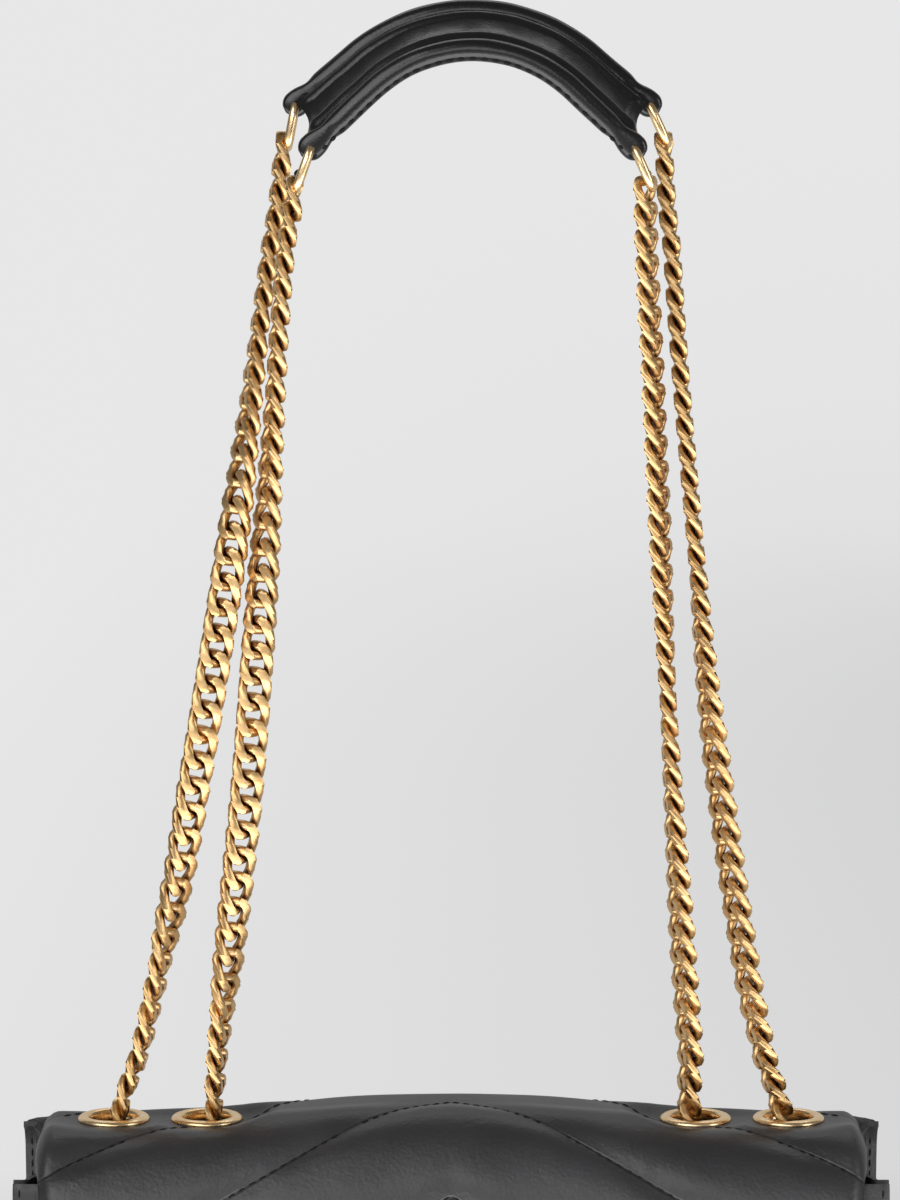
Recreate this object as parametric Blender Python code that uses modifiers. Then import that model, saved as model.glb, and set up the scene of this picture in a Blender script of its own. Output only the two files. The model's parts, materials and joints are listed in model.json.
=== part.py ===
"""A small quilted flap bag on a doubled curb chain with a padded, arched shoulder piece.

X runs along the bag, -Y is its front, +Z is up. The origin is under the middle of the base.
"""
import math

import bmesh
import bpy
from mathutils import Matrix, Vector

MM = 0.001
OVERRUN = 2 * MM
GAP = 0.3 * MM
MERGE = 0.0001 * MM
SHARP_ANGLE = math.radians(40)
DISC_STEPS = 24
PIN_STEPS = 12
UP = Vector((0, 0, 1))
BACKWARDS = Vector((0, 1, 0))

# Leather body
BAG_WIDTH = 230 * MM
BASE_DEPTH = 80 * MM
ROOF_HEIGHT = 165 * MM
ROOF_INSET = 4 * MM
LEATHER = 2 * MM
GUSSET_LEATHER = 1.4 * MM
SEAM_EDGE = 3.5 * MM
BACK_BEND = 12 * MM
BACK_STEPS = 6
FRONT_DROP = 15 * MM
GUSSET_DROP = 10 * MM
BASE_BOARD = 2 * MM
BOARD_MARGIN = 4 * MM
LINING = 0.8 * MM
LINING_DROP = 19 * MM

# Eyelets, in one line across the roof
EYELET_LINE = 8 * MM
EYELET_TO_BACK = 19 * MM
EYELET_INSET = 24.5 * MM
EYELET_SPACING = 25 * MM
EYELET_RADIUS = 9.75 * MM
EYELET_BORE = 6.5 * MM
EYELET_WALL = 0.8 * MM
EYELET_FLANGE = 1.1 * MM
EYELET_EDGE = 0.6 * MM
WASHER = 0.6 * MM
WASHER_RADIUS = 9.4 * MM
EYELET_STEPS = 18

# Flap
HINGE_LEAD = 10.3 * MM
FLAP_BEND = 22 * MM
FLAP_STANDOFF = 5.8 * MM
FLAP_BOTTOM = 55 * MM
FLAP_CORNER = 20 * MM
FLAP_LINING_INSET = 2 * MM
FOLD_SHARE = 0.5
FLAP_STEPS = 5
CORNER_STEPS = 6
MAGNET_HEIGHT = 74 * MM
MAGNET_RADIUS = 8 * MM
MAGNET_THICKNESS = 0.9 * MM

# Zip pocket on the back lining
ZIP_HEIGHT = 108 * MM
ZIP_LENGTH = 150 * MM
ZIP_END = 5 * MM
TAPE_WIDTH = 20 * MM
TAPE = 0.8 * MM
COIL_WIDTH = 4 * MM
COIL = 1.2 * MM
SLIDER_LENGTH = 11 * MM
SLIDER_WIDTH = 8 * MM
SLIDER_PLATE = 1.2 * MM
SLIDER_START = 6 * MM
LUG_WIDTH = 1.8 * MM
PIN_RADIUS = 0.7 * MM
PIN_LENGTH = 5.6 * MM
PIN_HOLE = 1.05 * MM
PULLER_ARM = 1.2 * MM
PULLER_LENGTH = 24 * MM
PULLER_THICKNESS = 1.4 * MM
PULLER_EYE = 2 * MM

# Curb chain
WIRE = 2.3 * MM
LINK_WIDTH = 9.2 * MM
PITCH = 6.8 * MM
GRIP = 0.45 * MM
LINK_POINTS = 8
LINK_ROUNDING = 0
PIVOT_HEIGHT = 6.5 * MM
PIVOT_SHIFT = 2.2 * MM
LOWER_FOLD_RISE = 50 * MM
UPPER_FOLD_RISE = 165 * MM
OUTER_BOW = 5 * MM
INNER_BOW = 1.7 * MM
LOOP_DEPTH = 14 * MM
PATH_STEPS = 48

# Shoulder piece
PAD_CENTRE = 5.6 * MM
ROLL_RADIUS = 3 * MM
ROLL_TIP = 0.7 * MM
ROLL_SPREAD = 9 * MM
BACK_ARCH_RISE = 295.3 * MM
BACK_ARCH_RADIUS = 48 * MM
BACK_ARCH_TURN = math.radians(40)
BACK_TAIL = 20.5 * MM
FRONT_ARCH_RISE = 285.2 * MM
FRONT_ARCH_RADIUS = 38 * MM
FRONT_ARCH_TURN = math.radians(43)
FRONT_TAIL = 22 * MM
WEB = 1.6 * MM
WEB_CLEARANCE = 0.7 * MM
WEB_TAIL_SHARE = 0.55
TAPER_LENGTH = 7 * MM
TIP_SETBACK = 4 * MM
ARCH_STEPS = 12
ROLL_ROUNDING = 2
RING_LENGTH = 11.6 * MM
RING_WIDTH = 9.6 * MM
RING_WIRE = 2 * MM
RING_LEAN = math.radians(18)
RING_CORNER = 1.8 * MM
RING_STEPS = 2
RING_ROUNDING = 1
TAB_LEATHER = 1.2 * MM
TAB_WIDTH = 3.6 * MM
TAB_LEG = 5 * MM
TAB_STEPS = 6

# Colours as (red, green, blue), roughness, metallic
BLACK_LEATHER = ((0.03, 0.03, 0.032), 0.42, 0)
LINING_CLOTH = ((0.02, 0.02, 0.022), 0.85, 0)
BOARD = ((0.35, 0.3, 0.24), 0.8, 0)
GOLD = ((0.83, 0.58, 0.25), 0.25, 1)
STEEL = ((0.6, 0.6, 0.6), 0.3, 1)

for old in list(bpy.data.objects):
    bpy.data.objects.remove(old)

parts = bpy.data.collections.new("chain_shoulder_bag")
cutters = bpy.data.collections.new("cutters")
bpy.context.scene.collection.children.link(parts)
bpy.context.scene.collection.children.link(cutters)


def material(name, finish):
    """A plain finish from a colour, a roughness and a metallic value."""
    colour, roughness, metallic = finish
    made = bpy.data.materials.new(name)
    made.use_nodes = True
    shader = made.node_tree.nodes["Principled BSDF"]
    shader.inputs["Base Color"].default_value = (*colour, 1)
    shader.inputs["Roughness"].default_value = roughness
    shader.inputs["Metallic"].default_value = metallic
    return made


def add(name, data, finish, collection=parts):
    """Puts mesh or curve data into the scene as a named piece."""
    piece = bpy.data.objects.new(name, data)
    if finish is not None:
        data.materials.append(material(name, finish))
    collection.objects.link(piece)
    if collection is cutters:
        piece.hide_render = True
        piece.display_type = "WIRE"
    return piece


def to_mesh(name, solid):
    """Makes mesh data out of a bmesh, with its faces turned outwards."""
    bmesh.ops.recalc_face_normals(solid, faces=solid.faces)
    data = bpy.data.meshes.new(name)
    solid.to_mesh(data)
    solid.free()
    return data


def block(name, low, high, finish, collection=parts, parent=None):
    """A box between two corners."""
    solid = bmesh.new()
    bmesh.ops.create_cube(solid, size=1)
    low = Vector(low)
    high = Vector(high)
    size = high - low
    bmesh.ops.scale(solid, vec=size, verts=solid.verts)
    bmesh.ops.translate(solid, vec=(low + high) / 2, verts=solid.verts)
    piece = add(name, to_mesh(name, solid), finish, collection)
    piece.parent = parent
    return piece


def disc(name, radius, low, high, finish, frame, collection=parts,
         steps=DISC_STEPS):
    """A cylinder along the third axis of its frame, between two heights."""
    solid = bmesh.new()
    bmesh.ops.create_cone(solid, cap_ends=True, segments=steps, radius1=radius, radius2=radius,
                          depth=high - low)
    bmesh.ops.translate(solid, vec=(0, 0, (low + high) / 2), verts=solid.verts)
    bmesh.ops.transform(solid, matrix=frame, verts=solid.verts)
    piece = add(name, to_mesh(name, solid), finish, collection)
    piece.data.set_sharp_from_angle(angle=SHARP_ANGLE)
    return piece


def combine(piece, tool, operation):
    """Cuts one piece with another, or joins them."""
    boolean = piece.modifiers.new("boolean", "BOOLEAN")
    boolean.operation = operation
    boolean.object = tool
    boolean.solver = "EXACT"


def thicken(piece, thickness, side):
    """Gives an open surface its thickness, on the side of its normals or against them."""
    solidify = piece.modifiers.new("thickness", "SOLIDIFY")
    solidify.thickness = thickness
    solidify.offset = side
    solidify.use_even_offset = True


def surface(name, rows, finish, thickness, side):
    """An open grid surface through rows of points, made thick. All rows have as many points."""
    grid = bmesh.new()
    lines = [[grid.verts.new(point) for point in row] for row in rows]
    for above, below in zip(lines, lines[1:]):
        for left, right in zip(range(len(above) - 1), range(1, len(above))):
            grid.faces.new((above[left], above[right], below[right], below[left]))
    data = bpy.data.meshes.new(name)
    grid.to_mesh(data)
    grid.free()
    piece = add(name, data, finish)
    thicken(piece, thickness, side)
    return piece


def sheet(name, profile, finish, thickness):
    """Leather along X. The profile's points (y, z, half width) run from the front's foot up and
    over to the back, and the thickness goes inwards."""
    rows = [[(-half, y, z), (half, y, z)] for y, z, half in profile]
    return surface(name, rows, finish, thickness, -1)


# Lean of the front and the back, tangent to the bends above them
hinge_y = EYELET_LINE - HINGE_LEAD
flap_centre = Vector((hinge_y, ROOF_HEIGHT - FLAP_BEND))
back_centre = Vector((EYELET_LINE + EYELET_TO_BACK - BACK_BEND, ROOF_HEIGHT - BACK_BEND))


def wall_lean(run, rise, reach):
    """Angle from upright of a wall that rises from the base's edge past a bend's centre."""
    return math.acos(reach / math.hypot(run, rise)) - math.atan2(rise, run)


front_lean = wall_lean(BASE_DEPTH / 2 + flap_centre.x, flap_centre.y, FLAP_BEND - FLAP_STANDOFF)
back_lean = wall_lean(BASE_DEPTH / 2 - back_centre.x, back_centre.y, BACK_BEND)


def front_y(height, depth=0):
    """Y of the front panel's outer face at a height, or of a plane so deep behind it."""
    return -BASE_DEPTH / 2 + height * math.tan(front_lean) + depth / math.cos(front_lean)


def back_y(height, depth=0):
    """Y of the back panel's outer face at a height, or of a plane so deep in front of it."""
    return BASE_DEPTH / 2 - height * math.tan(back_lean) - depth / math.cos(back_lean)


def bend(centre, radius, start, end, steps):
    """Points (y, z) of a bend. Angles are measured from straight up, towards the front."""
    points = []
    for step in range(steps + 1):
        angle = start + (end - start) * step / steps
        points.append((centre.x - radius * math.sin(angle), centre.y + radius * math.cos(angle)))
    return points


# Front panel, a flat sheet from the base to the mouth
half_bag = BAG_WIDTH / 2
half_roof = half_bag - ROOF_INSET
front_top = ROOF_HEIGHT - FRONT_DROP
sheet("front_panel", [(front_y(0), 0, half_bag), (front_y(front_top), front_top, half_bag)],
      BLACK_LEATHER, LEATHER)

# Back panel, which bends over at the top and runs on as the roof
back_points = bend(back_centre, BACK_BEND, 0, -(math.pi / 2 - back_lean), BACK_STEPS)
roof_rows = BACK_STEPS // 2 + 1
back_profile = [(hinge_y + GAP / 2, ROOF_HEIGHT, half_roof)]
back_profile += [(y, z, half_roof) for y, z in back_points[:roof_rows]]
back_profile += [(y, z, half_bag) for y, z in back_points[roof_rows + 1:]]
back_profile.append((back_y(0), 0, half_bag))
back_panel = sheet("back_panel", back_profile, BLACK_LEATHER, LEATHER)
outer_eyelet = half_bag - EYELET_INSET
inner_eyelet = outer_eyelet - EYELET_SPACING
eyelet_places = {"outer_left": -outer_eyelet, "inner_left": -inner_eyelet,
                 "inner_right": inner_eyelet, "outer_right": outer_eyelet}
barrel = EYELET_BORE + EYELET_WALL
hole = barrel + GAP
for place, x in eyelet_places.items():
    frame = Matrix.Translation((x, EYELET_LINE, ROOF_HEIGHT))
    tool = disc("hole_" + place, hole, -LEATHER - OVERRUN, OVERRUN, None, frame, cutters,
                EYELET_STEPS)
    combine(back_panel, tool, "DIFFERENCE")


def gusset(name, side):
    """A side wall whose edges turn outwards along the front and the back panel."""
    rows = []
    for front_height, back_height in ((front_top, ROOF_HEIGHT - GUSSET_DROP), (0, 0)):
        front = front_y(front_height, LEATHER + GAP + GUSSET_LEATHER)
        back = back_y(back_height, LEATHER + GAP + GUSSET_LEATHER)
        outer = side * half_bag
        web = side * (half_bag - SEAM_EDGE)
        rows.append([(outer, front, front_height), (web, front, front_height),
                     (web, back, back_height), (outer, back, back_height)])
    return surface(name, rows, BLACK_LEATHER, GUSSET_LEATHER, side)


gusset("gusset_left", -1)
gusset("gusset_right", 1)


def tub(name, finish, thickness, bottom, top, depth, inset):
    """An open box that follows the leaning front and back, this deep behind their faces."""
    half = half_bag - SEAM_EDGE - GUSSET_LEATHER - inset
    solid = bmesh.new()
    bmesh.ops.create_cube(solid, size=2)
    for corner in solid.verts:
        height = top if corner.co.z > 0 else bottom
        y = back_y(height, depth) if corner.co.y > 0 else front_y(height, depth)
        corner.co = (half * corner.co.x, y, height)
    if thickness:
        lid = max(solid.faces, key=lambda face: face.calc_center_median().z)
        bmesh.ops.delete(solid, geom=[lid], context="FACES_ONLY")
    piece = add(name, to_mesh(name, solid), finish)
    if thickness:
        thicken(piece, thickness, -1)
    return piece


# Base panel, base board and lining
tub("base_panel", BLACK_LEATHER, 0, 0, LEATHER, LEATHER + GAP, GAP)
board_bottom = LEATHER + GAP
tub("base_board", BOARD, 0, board_bottom, board_bottom + BASE_BOARD,
    LEATHER + BOARD_MARGIN, BOARD_MARGIN)
lining_bottom = board_bottom + BASE_BOARD + GAP
lining_depth = LEATHER + GAP + GUSSET_LEATHER + GAP
tub("lining", LINING_CLOTH, LINING, lining_bottom, ROOF_HEIGHT - LINING_DROP, lining_depth, GAP)

# Eyelets, turned, with a washer under the roof
washer_top = -LEATHER - GAP
barrel_bottom = washer_top - WASHER - GAP
eyelet_profile = [(EYELET_BORE, -GAP), (EYELET_BORE + EYELET_EDGE, EYELET_FLANGE),
                  (EYELET_RADIUS - EYELET_EDGE, EYELET_FLANGE), (EYELET_RADIUS, GAP + EYELET_EDGE / 2),
                  (EYELET_RADIUS, GAP), (barrel, GAP), (barrel, barrel_bottom),
                  (EYELET_BORE, barrel_bottom)]
washer_profile = [(hole, washer_top), (WASHER_RADIUS, washer_top),
                  (WASHER_RADIUS, washer_top - WASHER), (hole, washer_top - WASHER)]


def turned(name, profile, x, finish):
    """A ring turned about an upright axis through an eyelet's place."""
    outline = bmesh.new()
    corners = [outline.verts.new((radius, 0, height)) for radius, height in profile]
    for first, second in zip(corners, corners[1:] + corners[:1]):
        outline.edges.new((first, second))
    data = bpy.data.meshes.new(name)
    outline.to_mesh(data)
    outline.free()
    piece = add(name, data, finish)
    piece.location = (x, EYELET_LINE, ROOF_HEIGHT)
    screw = piece.modifiers.new("turn", "SCREW")
    screw.steps = EYELET_STEPS
    screw.render_steps = EYELET_STEPS
    screw.use_merge_vertices = True
    screw.merge_threshold = MERGE
    return piece


for place, x in eyelet_places.items():
    turned("eyelet_" + place, eyelet_profile, x, GOLD)
    turned("washer_" + place, washer_profile, x, GOLD)

# Flap: leather and lining, parted at the fold on the bend
fold_angle = (math.pi / 2 - front_lean) * FOLD_SHARE
end_angle = math.pi / 2 - front_lean
half_step = fold_angle / FLAP_STEPS / 2
fold_point = Vector(bend(flap_centre, FLAP_BEND, fold_angle, fold_angle, 1)[0])


def flap_piece(name, depth, thickness, finish, inset, front):
    """A part of the flap, this deep under its outer skin, before or behind the fold."""
    radius = FLAP_BEND - depth
    half = half_roof - inset
    fold_clear = (GAP / 2 + thickness * math.tan(half_step)) / radius
    if not front:
        points = bend(flap_centre, radius, 0, fold_angle - fold_clear, FLAP_STEPS)
        points[0] = (points[0][0] - GAP / 2, points[0][1])
        profile = [(y, z, half) for y, z in points]
        return sheet(name, list(reversed(profile)), finish, thickness)
    points = bend(flap_centre, radius, fold_angle + fold_clear, end_angle, FLAP_STEPS)
    profile = [(y, z, half) for y, z in points]
    bottom = FLAP_BOTTOM + inset
    corner = FLAP_CORNER - inset
    for step in range(CORNER_STEPS + 1):
        angle = math.pi / 2 * step / CORNER_STEPS
        height = bottom + corner - corner * math.sin(angle)
        y = front_y(height, depth - FLAP_STANDOFF)
        profile.append((y, height, half - corner + corner * math.cos(angle)))
    return sheet(name, list(reversed(profile)), finish, thickness)


flap_lining_depth = LEATHER + GAP
flap_piece("flap_top", 0, LEATHER, BLACK_LEATHER, 0, False)
flap_piece("flap_front", 0, LEATHER, BLACK_LEATHER, 0, True)
flap_piece("flap_lining_top", flap_lining_depth, LINING, LINING_CLOTH, FLAP_LINING_INSET, False)
flap_piece("flap_lining_front", flap_lining_depth, LINING, LINING_CLOTH, FLAP_LINING_INSET, True)

# Magnet pair between the flap and the front panel
magnet_frame = Matrix.Translation((0, front_y(MAGNET_HEIGHT), MAGNET_HEIGHT))
magnet_frame @= Matrix.Rotation(math.pi / 2 - front_lean, 4, "X")
disc("magnet_socket", MAGNET_RADIUS, GAP, GAP + MAGNET_THICKNESS, STEEL, magnet_frame)
stud_top = FLAP_STANDOFF - flap_lining_depth - LINING - GAP
disc("magnet_stud", MAGNET_RADIUS, stud_top - MAGNET_THICKNESS, stud_top, STEEL, magnet_frame)

# Zip pocket, in a frame that lies on the inner face of the back lining
wall_depth = lining_depth + LINING
wall = bpy.data.objects.new("zip_wall", None)
wall.location = (0, back_y(ZIP_HEIGHT, wall_depth), ZIP_HEIGHT)
wall.rotation_euler = (back_lean, 0, 0)
parts.objects.link(wall)
tape_front = -GAP - TAPE
coil_front = tape_front - GAP - COIL
block("zip_tape", (-ZIP_LENGTH / 2, tape_front, -TAPE_WIDTH / 2),
      (ZIP_LENGTH / 2, -GAP, TAPE_WIDTH / 2), LINING_CLOTH, parent=wall)
coil_half = ZIP_LENGTH / 2 - ZIP_END
block("zip_coil", (-coil_half, coil_front, -COIL_WIDTH / 2),
      (coil_half, tape_front - GAP, COIL_WIDTH / 2), GOLD, parent=wall)

slider_x = -coil_half + SLIDER_START
slider_back = tape_front - GAP
slider_front = coil_front - GAP - SLIDER_PLATE
pin_y = slider_front - PULLER_EYE - GAP
slider_empty = bpy.data.objects.new("zip_slider_place", None)
slider_empty.location = (slider_x, 0, 0)
slider_empty.parent = wall
parts.objects.link(slider_empty)
slider = block("zip_slider", (-SLIDER_LENGTH / 2, slider_front, -SLIDER_WIDTH / 2),
               (SLIDER_LENGTH / 2, slider_back, SLIDER_WIDTH / 2), GOLD, parent=slider_empty)
groove = block("slider_groove", (-SLIDER_LENGTH, coil_front - GAP, -COIL_WIDTH / 2 - GAP),
               (SLIDER_LENGTH, slider_back + OVERRUN, COIL_WIDTH / 2 + GAP), None, cutters,
               slider_empty)
lug = block("slider_lug", (-LUG_WIDTH / 2, pin_y - LUG_WIDTH / 2, -LUG_WIDTH / 2),
            (LUG_WIDTH / 2, slider_front + SLIDER_PLATE / 2, LUG_WIDTH / 2), None, cutters,
            slider_empty)
along_x = Matrix.Rotation(math.pi / 2, 4, "Y")
pin_place = Matrix.Translation((0, pin_y, 0)) @ along_x
pin = disc("slider_pin", PIN_RADIUS, -PIN_LENGTH / 2, PIN_LENGTH / 2, None, pin_place, cutters,
           PIN_STEPS)
pin.parent = slider_empty
combine(slider, groove, "DIFFERENCE")
combine(slider, lug, "UNION")
combine(slider, pin, "UNION")

puller_empty = bpy.data.objects.new("zip_puller_axis", None)
puller_empty.location = (0, pin_y, 0)
puller_empty.parent = slider_empty
parts.objects.link(puller_empty)
fork_half = LUG_WIDTH / 2 + GAP + PULLER_ARM
puller = block("zip_puller", (-fork_half, -PULLER_THICKNESS / 2, -PULLER_LENGTH),
               (fork_half, PULLER_THICKNESS / 2, PULLER_EYE), GOLD, parent=puller_empty)
eye = disc("puller_eye_hole", PIN_HOLE, -fork_half - OVERRUN, fork_half + OVERRUN, None, along_x,
           cutters, PIN_STEPS)
eye.parent = puller_empty
fork_depth = PULLER_EYE + OVERRUN
fork = block("puller_fork", (-LUG_WIDTH / 2 - GAP, -fork_depth, -PULLER_EYE - GAP),
             (LUG_WIDTH / 2 + GAP, fork_depth, fork_depth), None, cutters, puller_empty)
eye_outer = disc("puller_eye", PULLER_EYE, -fork_half, fork_half, None, along_x, cutters,
                 PIN_STEPS)
eye_outer.parent = puller_empty
combine(puller, eye_outer, "UNION")
combine(puller, fork, "DIFFERENCE")
combine(puller, eye, "DIFFERENCE")


def wire_mesh(points, thickness, cyclic, resolution, radii=None):
    """A bent wire through the points, as a mesh with welded ends."""
    curve = bpy.data.curves.new("wire", "CURVE")
    curve.dimensions = "3D"
    curve.twist_mode = "Z_UP" if cyclic else "MINIMUM"
    curve.bevel_depth = thickness / 2
    curve.bevel_resolution = resolution
    curve.use_fill_caps = True
    spline = curve.splines.new("POLY")
    spline.points.add(len(points) - 1)
    for index, point in enumerate(points):
        spline.points[index].co = (*point, 1)
        spline.points[index].radius = radii[index] if radii else 1
    spline.use_cyclic_u = cyclic
    guide = bpy.data.objects.new("wire", curve)
    cutters.objects.link(guide)
    bpy.context.view_layer.update()
    data = bpy.data.meshes.new_from_object(guide.evaluated_get(bpy.context.evaluated_depsgraph_get()))
    bpy.data.objects.remove(guide)
    solid = bmesh.new()
    solid.from_mesh(data)
    bpy.data.meshes.remove(data)
    bmesh.ops.remove_doubles(solid, verts=solid.verts, dist=MERGE)
    return solid


def oval(half_length, half_width, count):
    """Points of an oval in the XY plane, long along X, with a straight stretch at each tip."""
    step = 2 * math.pi / count
    stretch = 1 / math.cos(step / 2)
    points = []
    for index in range(count):
        angle = step * (index + 1 / 2)
        points.append((half_length * stretch * math.cos(angle),
                       half_width * stretch * math.sin(angle), 0))
    return points


def rounded(half_length, half_width, radius, steps):
    """Points of a rounded oblong in the XY plane, long along X."""
    points = []
    for quarter, (along_sign, across_sign) in enumerate(((1, 1), (-1, 1), (-1, -1), (1, -1))):
        for step in range(steps + 1):
            angle = math.pi / 2 * (quarter + step / steps)
            points.append((along_sign * (half_length - radius) + radius * math.cos(angle),
                           across_sign * (half_width - radius) + radius * math.sin(angle), 0))
    return points


def link(pitch, start_turn, end_turn):
    """One link along Z, in the XZ plane but turned about Z from its lower to its upper tip."""
    half_length = (pitch + WIRE - GRIP) / 2
    solid = wire_mesh(oval(half_length, (LINK_WIDTH - WIRE) / 2, LINK_POINTS), WIRE, True, LINK_ROUNDING)
    stand = Matrix(((0, 1, 0), (0, 0, 1), (1, 0, 0))).to_4x4()
    bmesh.ops.transform(solid, matrix=stand, verts=solid.verts)
    for corner in solid.verts:
        share = min(max(corner.co.z / half_length, -1), 1) / 2 + 1 / 2
        turn = start_turn + (end_turn - start_turn) * share
        corner.co = Matrix.Rotation(turn, 3, "Z") @ corner.co
    data = bpy.data.meshes.new("link")
    solid.to_mesh(data)
    solid.free()
    return data


def along(path):
    """Running lengths of a path's points."""
    lengths = [0]
    for first, second in zip(path, path[1:]):
        lengths.append(lengths[-1] + (second - first).length)
    return lengths


def frame_at(path, lengths, distance):
    """Place and axes on a path: the third axis runs along it, the second backwards."""
    index = 0
    while index < len(path) - 2 and lengths[index + 1] < distance:
        index += 1
    step = path[index + 1] - path[index]
    place = path[index] + step * ((distance - lengths[index]) / step.length)
    tangent = step.normalized()
    back = (BACKWARDS - BACKWARDS.dot(tangent) * tangent).normalized()
    side = back.cross(tangent)
    frame = Matrix((side, back, tangent)).transposed().to_4x4()
    frame.translation = place
    return frame


FLAT = 0
QUARTER = math.pi / 2


def chain(name, path, start_reach, end_reach, first, middle, last):
    """A stretch of curb chain. The turns say how the first, middle and last links lie."""
    lengths = along(path)
    span = lengths[-1] + start_reach + end_reach
    count = round((span - WIRE + GRIP) / PITCH)
    pitch = (span - WIRE + GRIP) / count
    turns = first + [middle] * (count - len(first) - len(last)) + last
    shapes = {pair: link(pitch, *pair) for pair in set(turns)}
    halves = (bmesh.new(), bmesh.new())
    for index, pair in enumerate(turns):
        centre = -start_reach + (pitch + WIRE - GRIP) / 2 + index * pitch
        shape = shapes[pair].copy()
        shape.transform(frame_at(path, lengths, centre))
        halves[index % 2].from_mesh(shape)
        bpy.data.meshes.remove(shape)
    piece = add(name, to_mesh(name, halves[0]), GOLD)
    between = add(name + "_between", to_mesh(name + "_between", halves[1]), None, cutters)
    combine(piece, between, "UNION")
    return piece


# Shoulder piece: where its two arches end, and the rings below them
class Arch:
    """An arch across the bag with a straight tail at each end."""

    def __init__(self, y, top, radius, turn, tail):
        self.y = y
        self.top = top
        self.radius = radius
        self.turn = turn
        self.tail = tail

    def point(self, side, share, setback=0):
        """Point at a share of the tail past the arch on one side."""
        reach = self.tail * share - setback
        x = self.radius * math.sin(self.turn) + reach * math.cos(self.turn)
        drop = self.radius * (1 - math.cos(self.turn)) + reach * math.sin(self.turn)
        return Vector((PAD_CENTRE + side * x, self.y, self.top - drop))

    def bow(self, steps):
        """Points along the arch from left to right, without the tails."""
        points = []
        for step in range(steps + 1):
            angle = self.turn * (2 * step / steps - 1)
            points.append(Vector((PAD_CENTRE + self.radius * math.sin(angle), self.y,
                                  self.top - self.radius * (1 - math.cos(angle)))))
        return points

    def ring_top(self, side):
        """Centre of the ring's wire inside the folded tab."""
        return self.point(side, 1)

    def ring_bottom(self, side):
        """Centre of the ring's wire where the chain hangs."""
        return self.ring_top(side) + Vector((side * RING_LENGTH * math.sin(RING_LEAN), 0,
                                             -RING_LENGTH * math.cos(RING_LEAN)))

    def chain_top(self, side):
        """Tip of the strand's last link, which hangs on the ring."""
        hook = (WIRE + RING_WIRE) / 2 + GAP
        return self.ring_bottom(side) + hook * UP


back_arch = Arch(EYELET_LINE + ROLL_SPREAD, ROOF_HEIGHT + BACK_ARCH_RISE, BACK_ARCH_RADIUS,
                 BACK_ARCH_TURN, BACK_TAIL)
front_arch = Arch(EYELET_LINE - ROLL_SPREAD, ROOF_HEIGHT + FRONT_ARCH_RISE, FRONT_ARCH_RADIUS,
                  FRONT_ARCH_TURN, FRONT_TAIL)

for word, arch in (("back", back_arch), ("front", front_arch)):
    points = [arch.point(-1, 1, TIP_SETBACK), arch.point(-1, 1, TIP_SETBACK + TAPER_LENGTH)]
    points += arch.bow(ARCH_STEPS)
    points += [arch.point(1, 1, TIP_SETBACK + TAPER_LENGTH), arch.point(1, 1, TIP_SETBACK)]
    tips = [ROLL_TIP / ROLL_RADIUS]
    radii = tips + [1] * (len(points) - 2) + tips
    roll = wire_mesh(points, 2 * ROLL_RADIUS, False, ROLL_ROUNDING, radii)
    add("pad_roll_" + word, to_mesh("pad_roll_" + word, roll), BLACK_LEATHER)

# Web between the rolls
web_rows = []
web_lines = []
for arch in (back_arch, front_arch):
    line = [arch.point(-1, WEB_TAIL_SHARE)] + arch.bow(ARCH_STEPS) + [arch.point(1, WEB_TAIL_SHARE)]
    web_lines.append(line)
for back, front in zip(*web_lines):
    step = (front - back).normalized() * (ROLL_RADIUS + WEB_CLEARANCE)
    web_rows.append([back + step, front - step])
surface("pad_web", web_rows, BLACK_LEATHER, WEB, 0)

# Rings, and the tabs folded round them
ring_half = RING_LENGTH / 2
for word, arch in (("back", back_arch), ("front", front_arch)):
    for side, hand in ((-1, "left"), (1, "right")):
        name = word + "_" + hand
        ring = wire_mesh(rounded(ring_half, (RING_WIDTH - RING_WIRE) / 2, RING_CORNER,
                                 RING_STEPS), RING_WIRE, True, RING_ROUNDING)
        down = (arch.ring_bottom(side) - arch.ring_top(side)).normalized()
        frame = Matrix((down, BACKWARDS, down.cross(BACKWARDS))).transposed().to_4x4()
        frame.translation = (arch.ring_bottom(side) + arch.ring_top(side)) / 2
        bmesh.ops.transform(ring, matrix=frame, verts=ring.verts)
        add("ring_" + name, to_mesh("ring_" + name, ring), GOLD)

        outward = Vector((side * math.cos(arch.turn), 0, -math.sin(arch.turn)))
        above = Vector((side * math.sin(arch.turn), 0, math.cos(arch.turn)))
        inner = RING_WIRE / 2 + GAP
        centre = arch.ring_top(side)
        rows = []
        for offset in (-TAB_WIDTH / 2, TAB_WIDTH / 2):
            row = [centre - outward * TAB_LEG + above * inner]
            for step in range(TAB_STEPS + 1):
                angle = math.pi * step / TAB_STEPS
                row.append(centre + outward * inner * math.sin(angle)
                           + above * inner * math.cos(angle))
            row.append(centre - outward * TAB_LEG - above * inner)
            rows.append([point + BACKWARDS * offset for point in row])
        surface("pad_tab_" + name, rows, BLACK_LEATHER, TAB_LEATHER, side)

# Chain: a short run inside for each pair, then four strands in three stretches
pivot_z = ROOF_HEIGHT + PIVOT_HEIGHT
reach = WIRE + GAP
roof_share = PIVOT_HEIGHT / (PIVOT_HEIGHT + LEATHER + LOOP_DEPTH)


def pivot_x(eyelet):
    """X where a strand starts, a little inwards of its eyelet."""
    return eyelet - math.copysign(PIVOT_SHIFT, eyelet)


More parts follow.
